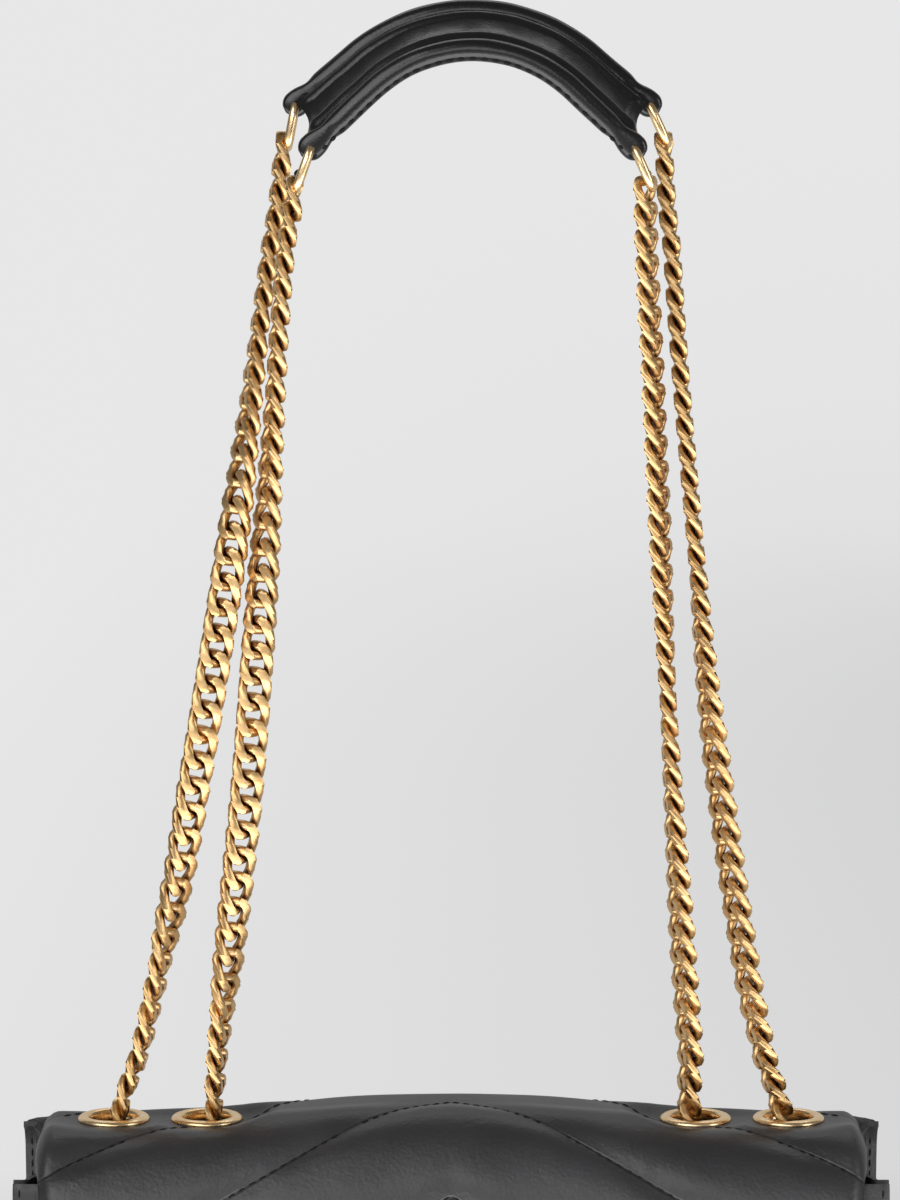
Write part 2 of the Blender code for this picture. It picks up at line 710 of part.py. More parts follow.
for side, hand in ((-1, "left"), (1, "right")):
    outer = side * outer_eyelet
    inner = side * inner_eyelet
    middle = (outer + inner) / 2
    radius = EYELET_SPACING / 2
    turn_z = ROOF_HEIGHT - LEATHER - LOOP_DEPTH
    path = [Vector((pivot_x(outer), EYELET_LINE, pivot_z))]
    for step in range(PATH_STEPS + 1):
        angle = math.pi * step / PATH_STEPS
        path.append(Vector((middle + side * radius * math.cos(angle), EYELET_LINE,
                            turn_z - radius * math.sin(angle))))
    path.append(Vector((pivot_x(inner), EYELET_LINE, pivot_z)))
    chain("chain_inside_" + hand, path, 0, 0, [(FLAT, FLAT)], (QUARTER, 2 * QUARTER),
          [(QUARTER, QUARTER), (FLAT, FLAT)])

lower_fold = ROOF_HEIGHT + LOWER_FOLD_RISE
upper_fold = ROOF_HEIGHT + UPPER_FOLD_RISE
strands = {"outer_left": (-1, back_arch, OUTER_BOW), "inner_left": (-1, front_arch, INNER_BOW),
           "inner_right": (1, front_arch, INNER_BOW), "outer_right": (1, back_arch, OUTER_BOW)}
for place, (side, arch, bow) in strands.items():
    start = Vector((pivot_x(eyelet_places[place]), EYELET_LINE, pivot_z))
    end = arch.chain_top(side)

    def strand_point(height):
        """Point of the strand at a height: it bows inwards and spreads to its ring on top."""
        share = (height - start.z) / (end.z - start.z)
        x = start.x + (end.x - start.x) * share - side * bow * 4 * share * (1 - share)
        spread = max(0, (height - upper_fold) / (end.z - upper_fold))
        return Vector((x, start.y + (end.y - start.y) * spread, height))

    levels = {"lower": (start.z, lower_fold), "middle": (lower_fold, upper_fold),
              "upper": (upper_fold, end.z)}
    for stretch, (low, high) in levels.items():
        path = [strand_point(low + (high - low) * step / PATH_STEPS)
                for step in range(PATH_STEPS + 1)]
        chain("strand_" + place + "_" + stretch, path, reach, 0, [(QUARTER, QUARTER)],
              (FLAT, QUARTER), [(FLAT, FLAT)])
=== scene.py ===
import json
import math

import bmesh
import bpy
from mathutils import Matrix, Vector, noise
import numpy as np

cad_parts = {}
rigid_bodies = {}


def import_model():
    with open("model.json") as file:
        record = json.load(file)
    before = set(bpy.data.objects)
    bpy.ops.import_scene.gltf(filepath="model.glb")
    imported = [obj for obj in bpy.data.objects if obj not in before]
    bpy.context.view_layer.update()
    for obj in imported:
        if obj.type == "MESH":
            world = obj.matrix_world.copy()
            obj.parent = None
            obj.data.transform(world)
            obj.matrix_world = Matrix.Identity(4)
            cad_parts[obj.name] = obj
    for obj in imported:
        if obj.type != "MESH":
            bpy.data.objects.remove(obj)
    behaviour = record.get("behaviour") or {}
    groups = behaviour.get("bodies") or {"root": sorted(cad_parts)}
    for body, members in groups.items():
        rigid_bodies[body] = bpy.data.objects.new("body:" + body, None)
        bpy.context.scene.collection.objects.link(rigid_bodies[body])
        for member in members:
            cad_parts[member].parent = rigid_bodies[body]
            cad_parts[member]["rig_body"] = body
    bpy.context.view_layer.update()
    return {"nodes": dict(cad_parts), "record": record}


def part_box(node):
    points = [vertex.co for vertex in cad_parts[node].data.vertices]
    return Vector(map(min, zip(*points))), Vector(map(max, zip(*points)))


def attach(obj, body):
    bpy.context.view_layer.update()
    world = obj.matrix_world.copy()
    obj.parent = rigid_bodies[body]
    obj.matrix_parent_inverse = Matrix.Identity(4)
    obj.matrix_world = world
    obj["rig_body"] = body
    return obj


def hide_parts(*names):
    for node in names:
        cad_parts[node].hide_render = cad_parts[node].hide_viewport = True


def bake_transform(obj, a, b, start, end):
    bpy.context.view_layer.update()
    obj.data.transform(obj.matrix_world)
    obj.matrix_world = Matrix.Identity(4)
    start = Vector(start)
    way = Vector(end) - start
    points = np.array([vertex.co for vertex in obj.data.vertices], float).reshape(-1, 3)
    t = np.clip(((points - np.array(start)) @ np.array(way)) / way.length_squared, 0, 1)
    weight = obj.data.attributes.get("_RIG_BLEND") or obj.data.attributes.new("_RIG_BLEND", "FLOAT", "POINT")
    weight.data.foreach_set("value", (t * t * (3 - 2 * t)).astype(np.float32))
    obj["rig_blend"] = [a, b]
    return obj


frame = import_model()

MM = 0.001

# Camera
# It stands level with the middle of the strap and looks slightly down, so that the
# roof of the bag shows as a thin slice and the shoulder piece is seen from the side.
camera_data = bpy.data.cameras.new("camera")
camera = bpy.data.objects.new("camera", camera_data)
bpy.context.scene.collection.objects.link(camera)
bpy.context.scene.camera = camera
CAMERA_DISTANCE = 1.3
CAMERA_TARGET = Vector((-0.00031, 0, 0.30618))
CAMERA_PITCH = math.radians(6.75)
FOCAL_PIXELS = 4936.7
FRAME_HEIGHT_PIXELS = 1200
camera_data.sensor_fit = "VERTICAL"
camera_data.sensor_height = 24
camera_data.lens = 24 * FOCAL_PIXELS / FRAME_HEIGHT_PIXELS
camera_data.clip_end = 50
toward = Vector((0, -math.cos(CAMERA_PITCH), math.sin(CAMERA_PITCH)))
camera.location = CAMERA_TARGET + toward * CAMERA_DISTANCE
camera.rotation_euler = (math.pi / 2 - CAMERA_PITCH, 0, 0)

# Floor and backdrop
# One pale grey paper sweep: flat under the bag, curved up far behind it. For the camera it glows,
# fully far behind the bag, in a painted shade that darkens a little towards the lower right, standing in
# for the falloff of one main lamp. In reflections it glows too, as painted light.
sweep = bmesh.new()
SWEEP_HALF = 5
SWEEP_FRONT = -4
SWEEP_BACK = 3
SWEEP_RADIUS = 1.2
SWEEP_TOP = 5
last = [sweep.verts.new((x, SWEEP_FRONT, 0)) for x in (-SWEEP_HALF, SWEEP_HALF)]
sweep.edges.new(last)
grown = bmesh.ops.extrude_edge_only(sweep, edges=sweep.edges[:])["geom"]
moved = [part for part in grown if isinstance(part, bmesh.types.BMVert)]
bmesh.ops.translate(sweep, vec=(0, SWEEP_BACK - SWEEP_FRONT, 0), verts=moved)
edge = [part for part in grown if isinstance(part, bmesh.types.BMEdge)]
bmesh.ops.spin(sweep, geom=moved + edge, axis=(1, 0, 0), cent=(0, SWEEP_BACK, SWEEP_RADIUS),
               angle=math.pi / 2, steps=16)
top = [e for e in sweep.edges if all(abs(v.co.y - SWEEP_BACK - SWEEP_RADIUS) < MM for v in e.verts)]
grown = bmesh.ops.extrude_edge_only(sweep, edges=top)["geom"]
moved = [part for part in grown if isinstance(part, bmesh.types.BMVert)]
bmesh.ops.translate(sweep, vec=(0, 0, SWEEP_TOP), verts=moved)
bmesh.ops.recalc_face_normals(sweep, faces=sweep.faces[:])
sweep_mesh = bpy.data.meshes.new("sweep")
sweep.to_mesh(sweep_mesh)
sweep.free()
for face in sweep_mesh.polygons:
    face.use_smooth = True
sweep_object = bpy.data.objects.new("sweep", sweep_mesh)
bpy.context.scene.collection.objects.link(sweep_object)


def material(name):
    """A new node material, its node tree and its shader."""
    made = bpy.data.materials.new(name)
    made.use_nodes = True
    return made, made.node_tree, made.node_tree.nodes["Principled BSDF"]


def coordinates(tree):
    """The object's own coordinates."""
    return tree.nodes.new("ShaderNodeTexCoord").outputs["Object"]


def mapped(tree, value, start, end, to_start=0, to_end=1, kind="LINEAR"):
    """An output's values, brought from one range into another."""
    made = tree.nodes.new("ShaderNodeMapRange")
    made.interpolation_type = kind
    made.inputs["From Min"].default_value = start
    made.inputs["From Max"].default_value = end
    made.inputs["To Min"].default_value = to_start
    made.inputs["To Max"].default_value = to_end
    tree.links.new(value, made.inputs["Value"])
    return made.outputs["Result"]


def computed(tree, operation, *values):
    """The result of a maths node. Each of its values is an output or a number."""
    made = tree.nodes.new("ShaderNodeMath")
    made.operation = operation
    for value, socket in zip(values, made.inputs):
        if isinstance(value, bpy.types.NodeSocket):
            tree.links.new(value, socket)
        else:
            socket.default_value = value
    return made.outputs[0]


def ramped(tree, value, *stops):
    """A colour ramp over an output. Each of its two stops is a place and a colour."""
    made = tree.nodes.new("ShaderNodeValToRGB")
    for element, (position, colour) in zip(made.color_ramp.elements, stops):
        element.position = position
        element.color = (*colour, 1)
    tree.links.new(value, made.inputs["Fac"])
    return made.outputs["Color"]


paper, tree, shader = material("paper_sweep")
shader.inputs["Base Color"].default_value = (0.74, 0.74, 0.745, 1)
shader.inputs["Roughness"].default_value = 0.9
apart = tree.nodes.new("ShaderNodeSeparateXYZ")
tree.links.new(coordinates(tree), apart.inputs[0])
ray = tree.nodes.new("ShaderNodeLightPath")
behind = mapped(tree, apart.outputs["Y"], 0.3, 0.65, 0.45)
rightwards = mapped(tree, apart.outputs["X"], -0.33, 0.33)
downwards = mapped(tree, apart.outputs["Y"], 4.1, 1.5, kind="SMOOTHSTEP")
# Painted shade: the glow darkens towards the lower right, where one main lamp falls off.
painted_falloff = computed(tree, "MULTIPLY", rightwards, downwards)
shade = ramped(tree, painted_falloff, (0, (0.799, 0.799, 0.799)), (1, (0.65, 0.65, 0.652)))
glow = tree.nodes.new("ShaderNodeEmission")
tree.links.new(shade, glow.inputs["Color"])
# Painted light: the sweep glows in reflections everywhere, though it is no lamp.
reflected_glow = computed(tree, "MULTIPLY", ray.outputs["Is Glossy Ray"], 0.6)
weight = computed(tree, "MULTIPLY_ADD", ray.outputs["Is Camera Ray"], behind, reflected_glow)
blend = tree.nodes.new("ShaderNodeMixShader")
tree.links.new(weight, blend.inputs["Fac"])
tree.links.new(shader.outputs["BSDF"], blend.inputs[1])
tree.links.new(glow.outputs["Emission"], blend.inputs[2])
tree.links.new(blend.outputs["Shader"], tree.nodes["Material Output"].inputs["Surface"])
sweep_mesh.materials.append(paper)

# Lamps
# A large soft lamp from the upper left front, a broad one in front that lights the flap's face,
# a faint strip above the back, a low card that draws the bright line under the shoulder piece, a
# weaker fill from the right and a plain grey world.
world = bpy.data.worlds.new("world")
bpy.context.scene.world = world
world.use_nodes = True
tree = world.node_tree
light = tree.nodes["Background"]
light.inputs["Color"].default_value = (0.75, 0.77, 0.8, 1)
light.inputs["Strength"].default_value = 0.22
seen = tree.nodes.new("ShaderNodeBackground")
seen.inputs["Color"].default_value = (0.7, 0.7, 0.705, 1)
sky_ray = tree.nodes.new("ShaderNodeLightPath")
sky = tree.nodes.new("ShaderNodeMixShader")
tree.links.new(sky_ray.outputs["Is Camera Ray"], sky.inputs["Fac"])
tree.links.new(light.outputs[0], sky.inputs[1])
tree.links.new(seen.outputs[0], sky.inputs[2])
tree.links.new(sky.outputs[0], tree.nodes["World Output"].inputs["Surface"])


def lamp(name, place, aim, width, height, power):
    """A rectangular soft lamp that faces a point."""
    data = bpy.data.lights.new(name, "AREA")
    data.shape = "RECTANGLE"
    data.size = width
    data.size_y = height
    data.energy = power
    made = bpy.data.objects.new(name, data)
    made.location = place
    made.rotation_euler = (Vector(aim) - Vector(place)).to_track_quat("-Z", "Y").to_euler()
    made.visible_camera = False
    bpy.context.scene.collection.objects.link(made)


lamp("key", (-1.1, -1.3, 1.5), (0, 0, 0.25), 1.4, 1.4, 18)
lamp("front", (-0.3, -1.9, 0.95), (0, 0, 0.2), 1.4, 0.7, 8)
lamp("strip", (0.1, 0.9, 1.6), (0, 0, 0.2), 1.4, 0.35, 2.5)
lamp("low_card", (0, -0.42, 0.01), (0, -0.42, 1), 1.6, 0.55, 10)
lamp("fill", (1.5, -0.8, 0.7), (0, 0, 0.25), 0.6, 1.2, 8)
bpy.context.scene.view_settings.view_transform = "Standard"

# Black leather
# Fine-grained calf with a satin finish: a bump of small pebbles over soft creases, and a
# roughness that changes slightly where hands have polished it.


def spotted(tree, scale, detail=2, distortion=0):
    """Noise over the object's own coordinates."""
    made = tree.nodes.new("ShaderNodeTexNoise")
    made.inputs["Scale"].default_value = scale
    made.inputs["Detail"].default_value = detail
    made.inputs["Distortion"].default_value = distortion
    tree.links.new(coordinates(tree), made.inputs["Vector"])
    return made.outputs["Fac"]


def multiplied(tree, factor, first, second):
    """A colour darkened by another, as far as the factor says."""
    made = tree.nodes.new("ShaderNodeMix")
    made.data_type = "RGBA"
    made.blend_type = "MULTIPLY"
    made.inputs["Factor"].default_value = factor
    tree.links.new(first, made.inputs["A"])
    tree.links.new(second, made.inputs["B"])
    return made.outputs["Result"]


def bumped(tree, height, strength, distance, socket):
    """A bump of a height in metres that goes to a normal socket."""
    made = tree.nodes.new("ShaderNodeBump")
    made.inputs["Strength"].default_value = strength
    made.inputs["Distance"].default_value = distance
    tree.links.new(height, made.inputs["Height"])
    tree.links.new(made.outputs["Normal"], socket)
    return made


def leather(name, colour, roughness, pebble, depth, quilt_step=0):
    """Leather with a pebble size and a bump depth in metres. With a quilting step, the seams come
    from the mesh's own quilt attribute: a narrow groove, its colour darkened as painted shade, with a pucker
    across it."""
    made, tree, shader = material(name)
    patch = spotted(tree, 38, 6)
    tint = ramped(tree, patch, (0.3, [c * 0.8 for c in colour]), (0.75, [c * 1.3 for c in colour]))
    polish = mapped(tree, patch, 0, 1, roughness - 0.07, roughness + 0.07)
    tree.links.new(polish, shader.inputs["Roughness"])
    grain = tree.nodes.new("ShaderNodeTexVoronoi")
    grain.feature = "SMOOTH_F1"
    grain.inputs["Scale"].default_value = 1 / pebble
    tree.links.new(coordinates(tree), grain.inputs["Vector"])
    crease = spotted(tree, 230, 5, 0.9)
    relief = computed(tree, "MULTIPLY_ADD", crease, 1.6, grain.outputs["Distance"])
    bump = bumped(tree, relief, 0.65, depth, shader.inputs["Normal"])
    if quilt_step:
        phase = tree.nodes.new("ShaderNodeAttribute")
        phase.attribute_name = "quilt"
        off = computed(tree, "PINGPONG", phase.outputs["Fac"], 0.5)
        # Painted shade: the leather's colour darkens in the seam's groove, where shade falls.
        line = mapped(tree, off, 0, 0.55 * MM / quilt_step, 0.12, kind="SMOOTHSTEP")
        tint = multiplied(tree, 1, tint, line)
        groove = mapped(tree, off, 0, 0.9 * MM / quilt_step, kind="SMOOTHERSTEP")
        bumped(tree, groove, 0.5, 0.4 * MM, bump.inputs["Normal"])
    tree.links.new(tint, shader.inputs["Base Color"])
    return made


CHEVRON_SLOPE = 0.58
CHEVRON_STEP = 57.8 * MM * CHEVRON_SLOPE
SATIN_BLACK = (0.02, 0.0193, 0.0205)
satin_leather = leather("satin_leather", SATIN_BLACK, 0.4, 0.9 * MM, 0.1 * MM, CHEVRON_STEP)
plain_leather = leather("plain_leather", SATIN_BLACK, 0.47, 0.9 * MM, 0.1 * MM)


def finished(name, solid, finish):
    """Puts a finished bmesh into the scene as a piece with one material."""
    mesh = bpy.data.meshes.new(name)
    solid.to_mesh(mesh)
    solid.free()
    mesh.materials.append(finish)
    for face in mesh.polygons:
        face.use_smooth = True
    piece = bpy.data.objects.new(name, mesh)
    bpy.context.scene.collection.objects.link(piece)
    return piece


# Profile of the outer skin
# The back, the roof and the flap follow one line in side view. It is measured as a run from
# the quilting's first point on the roof, forwards and down, and the run is negative behind it.
roof_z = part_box("flap_top")[1][2]
joints = {joint["name"]: joint for joint in frame["record"]["behaviour"]["joints"]}
hinge_y = joints["flap_hinge"]["pos_m"][1]
fold_y, fold_z = joints["flap_fold"]["pos_m"][1:]
fold_angle = 2 * math.atan2(roof_z - fold_z, hinge_y - fold_y)
FLAP_BEND = (hinge_y - fold_y) / math.sin(fold_angle)
BACK_BEND = 12 * MM
FRONT_LEAN = math.pi / 2 - 2 * fold_angle
BASE_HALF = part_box("back_panel")[1][1]
BACK_LEAN = math.radians(4.84)
RUN_AT_HINGE = 4 * MM
BACK_BEND_Y = 15 * MM
run_flap_face = RUN_AT_HINGE + FLAP_BEND * (math.pi / 2 - FRONT_LEAN)
run_back_bend = RUN_AT_HINGE - (BACK_BEND_Y - hinge_y)
run_back_face = run_back_bend - BACK_BEND * (math.pi / 2 - BACK_LEAN)


def skin(run):
    """Place (y, z) and outward direction (y, z) of the outer skin at a run."""
    if run > RUN_AT_HINGE:
        angle = min(run - RUN_AT_HINGE, run_flap_face - RUN_AT_HINGE) / FLAP_BEND
        y = hinge_y - FLAP_BEND * math.sin(angle)
        z = roof_z - FLAP_BEND * (1 - math.cos(angle))
        beyond = max(0, run - run_flap_face)
        return (y - beyond * math.cos(angle), z - beyond * math.sin(angle),
                -math.sin(angle), math.cos(angle))
    if run > run_back_bend:
        return hinge_y + RUN_AT_HINGE - run, roof_z, 0, 1
    angle = min(run_back_bend - run, run_back_bend - run_back_face) / BACK_BEND
    y = BACK_BEND_Y + BACK_BEND * math.sin(angle)
    z = roof_z - BACK_BEND * (1 - math.cos(angle))
    beyond = max(0, run_back_face - run)
    return (y + beyond * math.cos(angle), z - beyond * math.sin(angle),
            math.sin(angle), math.cos(angle))


# Quilting
# Chevron bands sewn through wadding: each seam pulls a groove into the skin, the band swells
# beside it, small puckers run off the stitches, and the eyelets press the skin flat.
PUFF = 1.5 * MM
CROWN = 5.2 * MM
CROWN_HALF = 96 * MM
ROOF_HALF = 110.2 * MM
FLAP_HALF = 108.3 * MM
ROOF_EDGE = 4.8 * MM
SEAM_LEAD = 3.5 * MM
EYELETS = [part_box("eyelet_" + name) for name in
           ("outer_left", "inner_left", "inner_right", "outer_right")]
eyelet_places = [((low[0] + high[0]) / 2, (low[1] + high[1]) / 2) for low, high in EYELETS]


def smooth(low, high, value):
    """Smooth step from 0 at low to 1 at high."""
    share = min(max((value - low) / (high - low), 0), 1)
    return share * share * (3 - 2 * share)


def quilt_phase(x, run):
    """Count of seams passed at a place: a whole number on each seam."""
    return (run + SEAM_LEAD - CHEVRON_SLOPE * math.sqrt(x * x + (0.6 * MM) ** 2)) / CHEVRON_STEP


def puff(x, run, to_side, to_end):
    """How far the quilted skin stands out at a place, from its distances to the edges."""
    phase = quilt_phase(x, run)
    off = abs(phase - round(phase)) * 2
    swell = 1 - (1 - min(off * 1.05, 1)) ** 2.8
    height = PUFF * swell * (0.92 + 0.08 * math.cos(off * math.pi))
    beside = math.exp(-((off - 0.16) / 0.12) ** 2)
    ripple = noise.noise(Vector((x * 170, run * 170, 0.3))) * 0.5
    ripple += noise.noise(Vector((x * 380, run * 380, 7.1))) * 0.25
    height += beside * ripple * 0.45 * MM
    height += noise.noise(Vector((x * 34, run * 34, 2.7))) * 0.5 * MM * swell
    height += noise.noise(Vector((x * 90, run * 90, 5.2))) * 0.16 * MM
    return height * smooth(0, 4 * MM, to_side) * smooth(0, 5 * MM, to_end)


def press(x, y):
    """Share of the puff that the eyelets leave at a place on the roof."""
    left = 1
    for eyelet_x, eyelet_y in eyelet_places:
        behind_it = (y - eyelet_y) * (1.9 if y > eyelet_y else 1)
        left = min(left, smooth(10 * MM, 21 * MM, math.hypot(x - eyelet_x, behind_it)))
    return left


def shell_point(x, run, half):
    """A point of the outer skin, quilted, with the roof's crown over the middle."""
    y, z, out_y, out_z = skin(run)
    height = puff(x, run, half - abs(x), 1)
    on_top = smooth(-25 * MM, -12 * MM, run) * (1 - smooth(2 * MM, 34 * MM, run))
    height *= 1 - 0.7 * smooth(-30 * MM, -14 * MM, run) * (1 - smooth(-4 * MM, 7 * MM, run))
    height += CROWN * on_top * max(0, 1 - (x / CROWN_HALF) ** 2) ** 2
    if run_back_bend - 12 * MM < run < RUN_AT_HINGE + 15 * MM:
        height *= press(x, y)
    return Vector((x, y + out_y * height, z + out_z * height)), Vector((0, out_y, out_z))


def soft_grid(run_start, run_end, half_at, edge_at, step, point_at):
    """A grid over a run and across it, whose side edges turn inwards on a small radius. Each
    vertex keeps its run and its seam count."""
    rows = round((run_end - run_start) / step)
    columns = round(2 * half_at(run_start) / step)
    solid = bmesh.new()
    bmesh.ops.create_grid(solid, x_segments=columns, y_segments=rows, size=1)
    seam_layer = solid.verts.layers.float.new("quilt")
    run_layer = solid.verts.layers.float.new("run")
    for corner in solid.verts:
        run = run_start + (run_end - run_start) * (1 - corner.co.y) / 2
        half = half_at(run)
        edge = edge_at(run)
        reach = abs(corner.co.x) * (half - edge + edge * math.pi / 2)
        beyond = max(0, reach - half + edge) / edge
        x = min(reach, half - edge) + edge * math.sin(beyond)
        x = math.copysign(x, corner.co.x)
        corner[seam_layer] = quilt_phase(x, run)
        corner[run_layer] = run
        point, out = point_at(x, run, half)
        corner.co = point - out * edge * (1 - math.cos(beyond))
    bmesh.ops.recalc_face_normals(solid, faces=solid.faces[:])
    return solid


def normals_of(solid):
    """Normals of a bmesh's vertices, by their places."""
    solid.normal_update()
    return {tuple(round(c, 6) for c in corner.co): corner.normal.copy() for corner in solid.verts}


def solidified(piece, thickness, normals=None):
    """Gives a skin its leather thickness, inwards, with crisp edges. The outer face keeps the
    normals that it had as part of a larger skin."""
    wall = piece.modifiers.new("thickness", "SOLIDIFY")
    wall.thickness = thickness
    wall.offset = -1
    thick = bpy.data.meshes.new_from_object(
        piece.evaluated_get(bpy.context.evaluated_depsgraph_get()))
    piece.modifiers.clear()
    piece.data = thick
    thick.set_sharp_from_angle(angle=math.radians(48))
    if normals:
        kept = []
        for face in thick.polygons:
            for index in face.vertices:
                place = tuple(round(c, 6) for c in thick.vertices[index].co)
                normal = normals.get(place)
                facing = normal is not None and normal.dot(face.normal) > 0.5
                kept.append(tuple(normal) if facing else (0, 0, 0))
        thick.normals_split_custom_set(kept)


thread, tree, shader = material("black_thread")
shader.inputs["Roughness"].default_value = 0.75
shader.inputs["Specular IOR Level"].default_value = 0.15
twist = ramped(tree, spotted(tree, 2600), (0, (0.003, 0.003, 0.003)), (1, (0.012, 0.0115, 0.012)))
tree.links.new(twist, shader.inputs["Base Color"])


STITCH_LENGTH = 2.2 * MM
STITCH_RADIUS = 0.28 * MM


def stitches(name, places, length=STITCH_LENGTH, radius=STITCH_RADIUS):
    """Rows of stitches. Each place is a point with the thread's direction."""
    bead = bmesh.new()
    bmesh.ops.create_uvsphere(bead, u_segments=6, v_segments=5, radius=radius)
    stitch = bpy.data.meshes.new("stitch")
    bead.to_mesh(stitch)
    bead.free()
    solid = bmesh.new()
    for point, direction in places:
        turn = direction.to_track_quat("Z", "Y").to_matrix().to_4x4()
        shape = Matrix.Translation(point) @ turn @ Matrix.Diagonal((1, 1, length / 2 / radius, 1))
        stitch.transform(shape)
        solid.from_mesh(stitch)
        stitch.transform(shape.inverted())
    bpy.data.meshes.remove(stitch)
    return finished(name, solid, thread)


SKIN = 1.5 * MM
SKIN_STEP = 1.15 * MM
SEWN_EDGE = 0.6 * MM
PARTING_RUN = RUN_AT_HINGE + FLAP_BEND * fold_angle * 0.5
bag_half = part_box("back_panel")[1][0] + SEWN_EDGE
SEAM_TOP_RUN = run_back_bend - 8 * MM
SEAM_TOP_FADE = 2 * MM
FLAP_CORNER = 20 * MM
FLAP_ROLL = 2.4 * MM
flap_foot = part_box("flap_front")[0][2] + 0.3 * MM
flap_end_run = run_flap_face
while skin(flap_end_run)[1] > flap_foot:
    flap_end_run += 0.2 * MM
BACK_FACE_LENGTH = 153.2 * MM
back_bottom_run = run_back_face - BACK_FACE_LENGTH


def shell_half(run):
    """Half width of the hide: wide at the back's seams, then as wide as the roof, and narrowing
    round the flap's lower corners."""
    if run < PARTING_RUN:
        above_seam = smooth(SEAM_TOP_RUN - SEAM_TOP_FADE, SEAM_TOP_RUN, run)
        return bag_half + (ROOF_HALF - bag_half) * above_seam
    short = max(0, run - (flap_end_run - FLAP_CORNER)) / FLAP_CORNER
    half = ROOF_HALF + (FLAP_HALF - ROOF_HALF) * smooth(PARTING_RUN, run_flap_face, run)
    return half - FLAP_CORNER * (1 - math.sqrt(max(0, 1 - min(short, 1) ** 2)))


def shell_edge(run):
    """Radius on which the hide's side edges turn inwards."""
    above_seam = smooth(SEAM_TOP_RUN - SEAM_TOP_FADE, SEAM_TOP_RUN, run)
    edge = SEWN_EDGE + (ROOF_EDGE - SEWN_EDGE) * above_seam
    return edge + (FLAP_ROLL - ROOF_EDGE) * smooth(PARTING_RUN, run_flap_face, run)


def shell_with_foot(x, run, half):
    """The outer skin, with the flap's lower edge turned under a little."""
    point, out = shell_point(x, run, half)
    under = max(0, run - flap_end_run + FLAP_ROLL) / FLAP_ROLL
    return point - out * 0.75 * FLAP_ROLL * under ** 2, out


# Back, roof and flap
# One quilted hide: up the back, over the roof with its four eyelets, round the bend and down the
# front, where it ends in two rounded corners. It folds on a line before the eyelets and on the
# bend, so it is made in one piece and then parted at a line on the bend that lies flush.
hide = soft_grid(back_bottom_run, flap_end_run, shell_half, shell_edge, SKIN_STEP,
                 shell_with_foot)
hide_normals = normals_of(hide)
run_layer = hide.verts.layers.float["run"]
flap_solid = hide.copy()
rear = [f for f in flap_solid.faces
        if sum(v[flap_solid.verts.layers.float["run"]] for v in f.verts) / 4 < PARTING_RUN]
bmesh.ops.delete(flap_solid, geom=rear, context="FACES")
fore = [f for f in hide.faces if sum(v[run_layer] for v in f.verts) / 4 >= PARTING_RUN]
bmesh.ops.delete(hide, geom=fore, context="FACES")
HOLE_RADIUS = 7.3 * MM
HOLE_DEPTH = 3 * MM
for x, y in eyelet_places:
    hole = [v for v in hide.verts if math.hypot(v.co.x - x, v.co.y - y) < HOLE_RADIUS
            and v.co.z > roof_z - HOLE_DEPTH]
    bmesh.ops.delete(hide, geom=hole, context="VERTS")
back_leather = finished("back_and_roof", hide, satin_leather)
solidified(back_leather, SKIN, hide_normals)
HINGE_REACH = 3.5 * MM
FOLD_REACH = 4.5 * MM
hinge_blend = (Vector((0, hinge_y + HINGE_REACH, roof_z)),
               Vector((0, hinge_y - HINGE_REACH, roof_z)))
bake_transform(back_leather, "bag", "flap_top", start=hinge_blend[0], end=hinge_blend[1])
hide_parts("back_panel", "flap_top")
flap_leather = finished("flap", flap_solid, satin_leather)
solidified(flap_leather, SKIN, hide_normals)
across = Vector((0, fold_y, fold_z))
along = Vector((0, -math.cos(fold_angle), -math.sin(fold_angle)))
fold_blend = (across - along * FOLD_REACH, across + along * FOLD_REACH)
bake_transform(flap_leather, "flap_top", "flap_front", start=fold_blend[0], end=fold_blend[1])
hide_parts("flap_front")
SEAMS = range(-9, 8)
SEAM_PITCH = 3.1 * MM
EDGE_STITCH = 1.8 * MM
AHEAD = 0.2 * MM


def chevron_stitches(run_start, run_end, half_at, margin, point_at):
    """Places of the stitches in every chevron seam between two runs."""
    places = []
    for seam in SEAMS:
        steps = int(2 * bag_half * math.hypot(1, CHEVRON_SLOPE) / SEAM_PITCH)
        for index in range(-steps // 2, steps // 2 + 1):
            x = (index + 0.5) * SEAM_PITCH / math.hypot(1, CHEVRON_SLOPE)
            run = seam * CHEVRON_STEP - SEAM_LEAD + CHEVRON_SLOPE * abs(x)
            if not run_start < run < run_end or abs(x) > half_at(run) - margin:
                continue
            point, out = point_at(x, run, half_at(run))
            ahead_run = run + math.copysign(CHEVRON_SLOPE, x) * AHEAD
            ahead = point_at(x + AHEAD, ahead_run, half_at(run))[0]
            if out.z > 0.9 and press(x, point.y) < 0.05:
                continue
            places.append((point + out * 0.02 * MM, (ahead - point).normalized()))
    return places


def edge_stitches(run_start, run_end, half_at, margin, point_at):
    """Places of the stitches along both side edges between two runs."""
    places = []
    for side in (-1, 1):
        for index in range(int((run_end - run_start) / SEAM_PITCH)):
            run = run_start + (index + 0.5) * SEAM_PITCH
            x = side * (half_at(run) - margin)
            point, out = point_at(x, run, half_at(run))
            ahead = point_at(x, run + AHEAD, half_at(run))[0]
            places.append((point + out * 0.05 * MM, (ahead - point).normalized()))
    return places


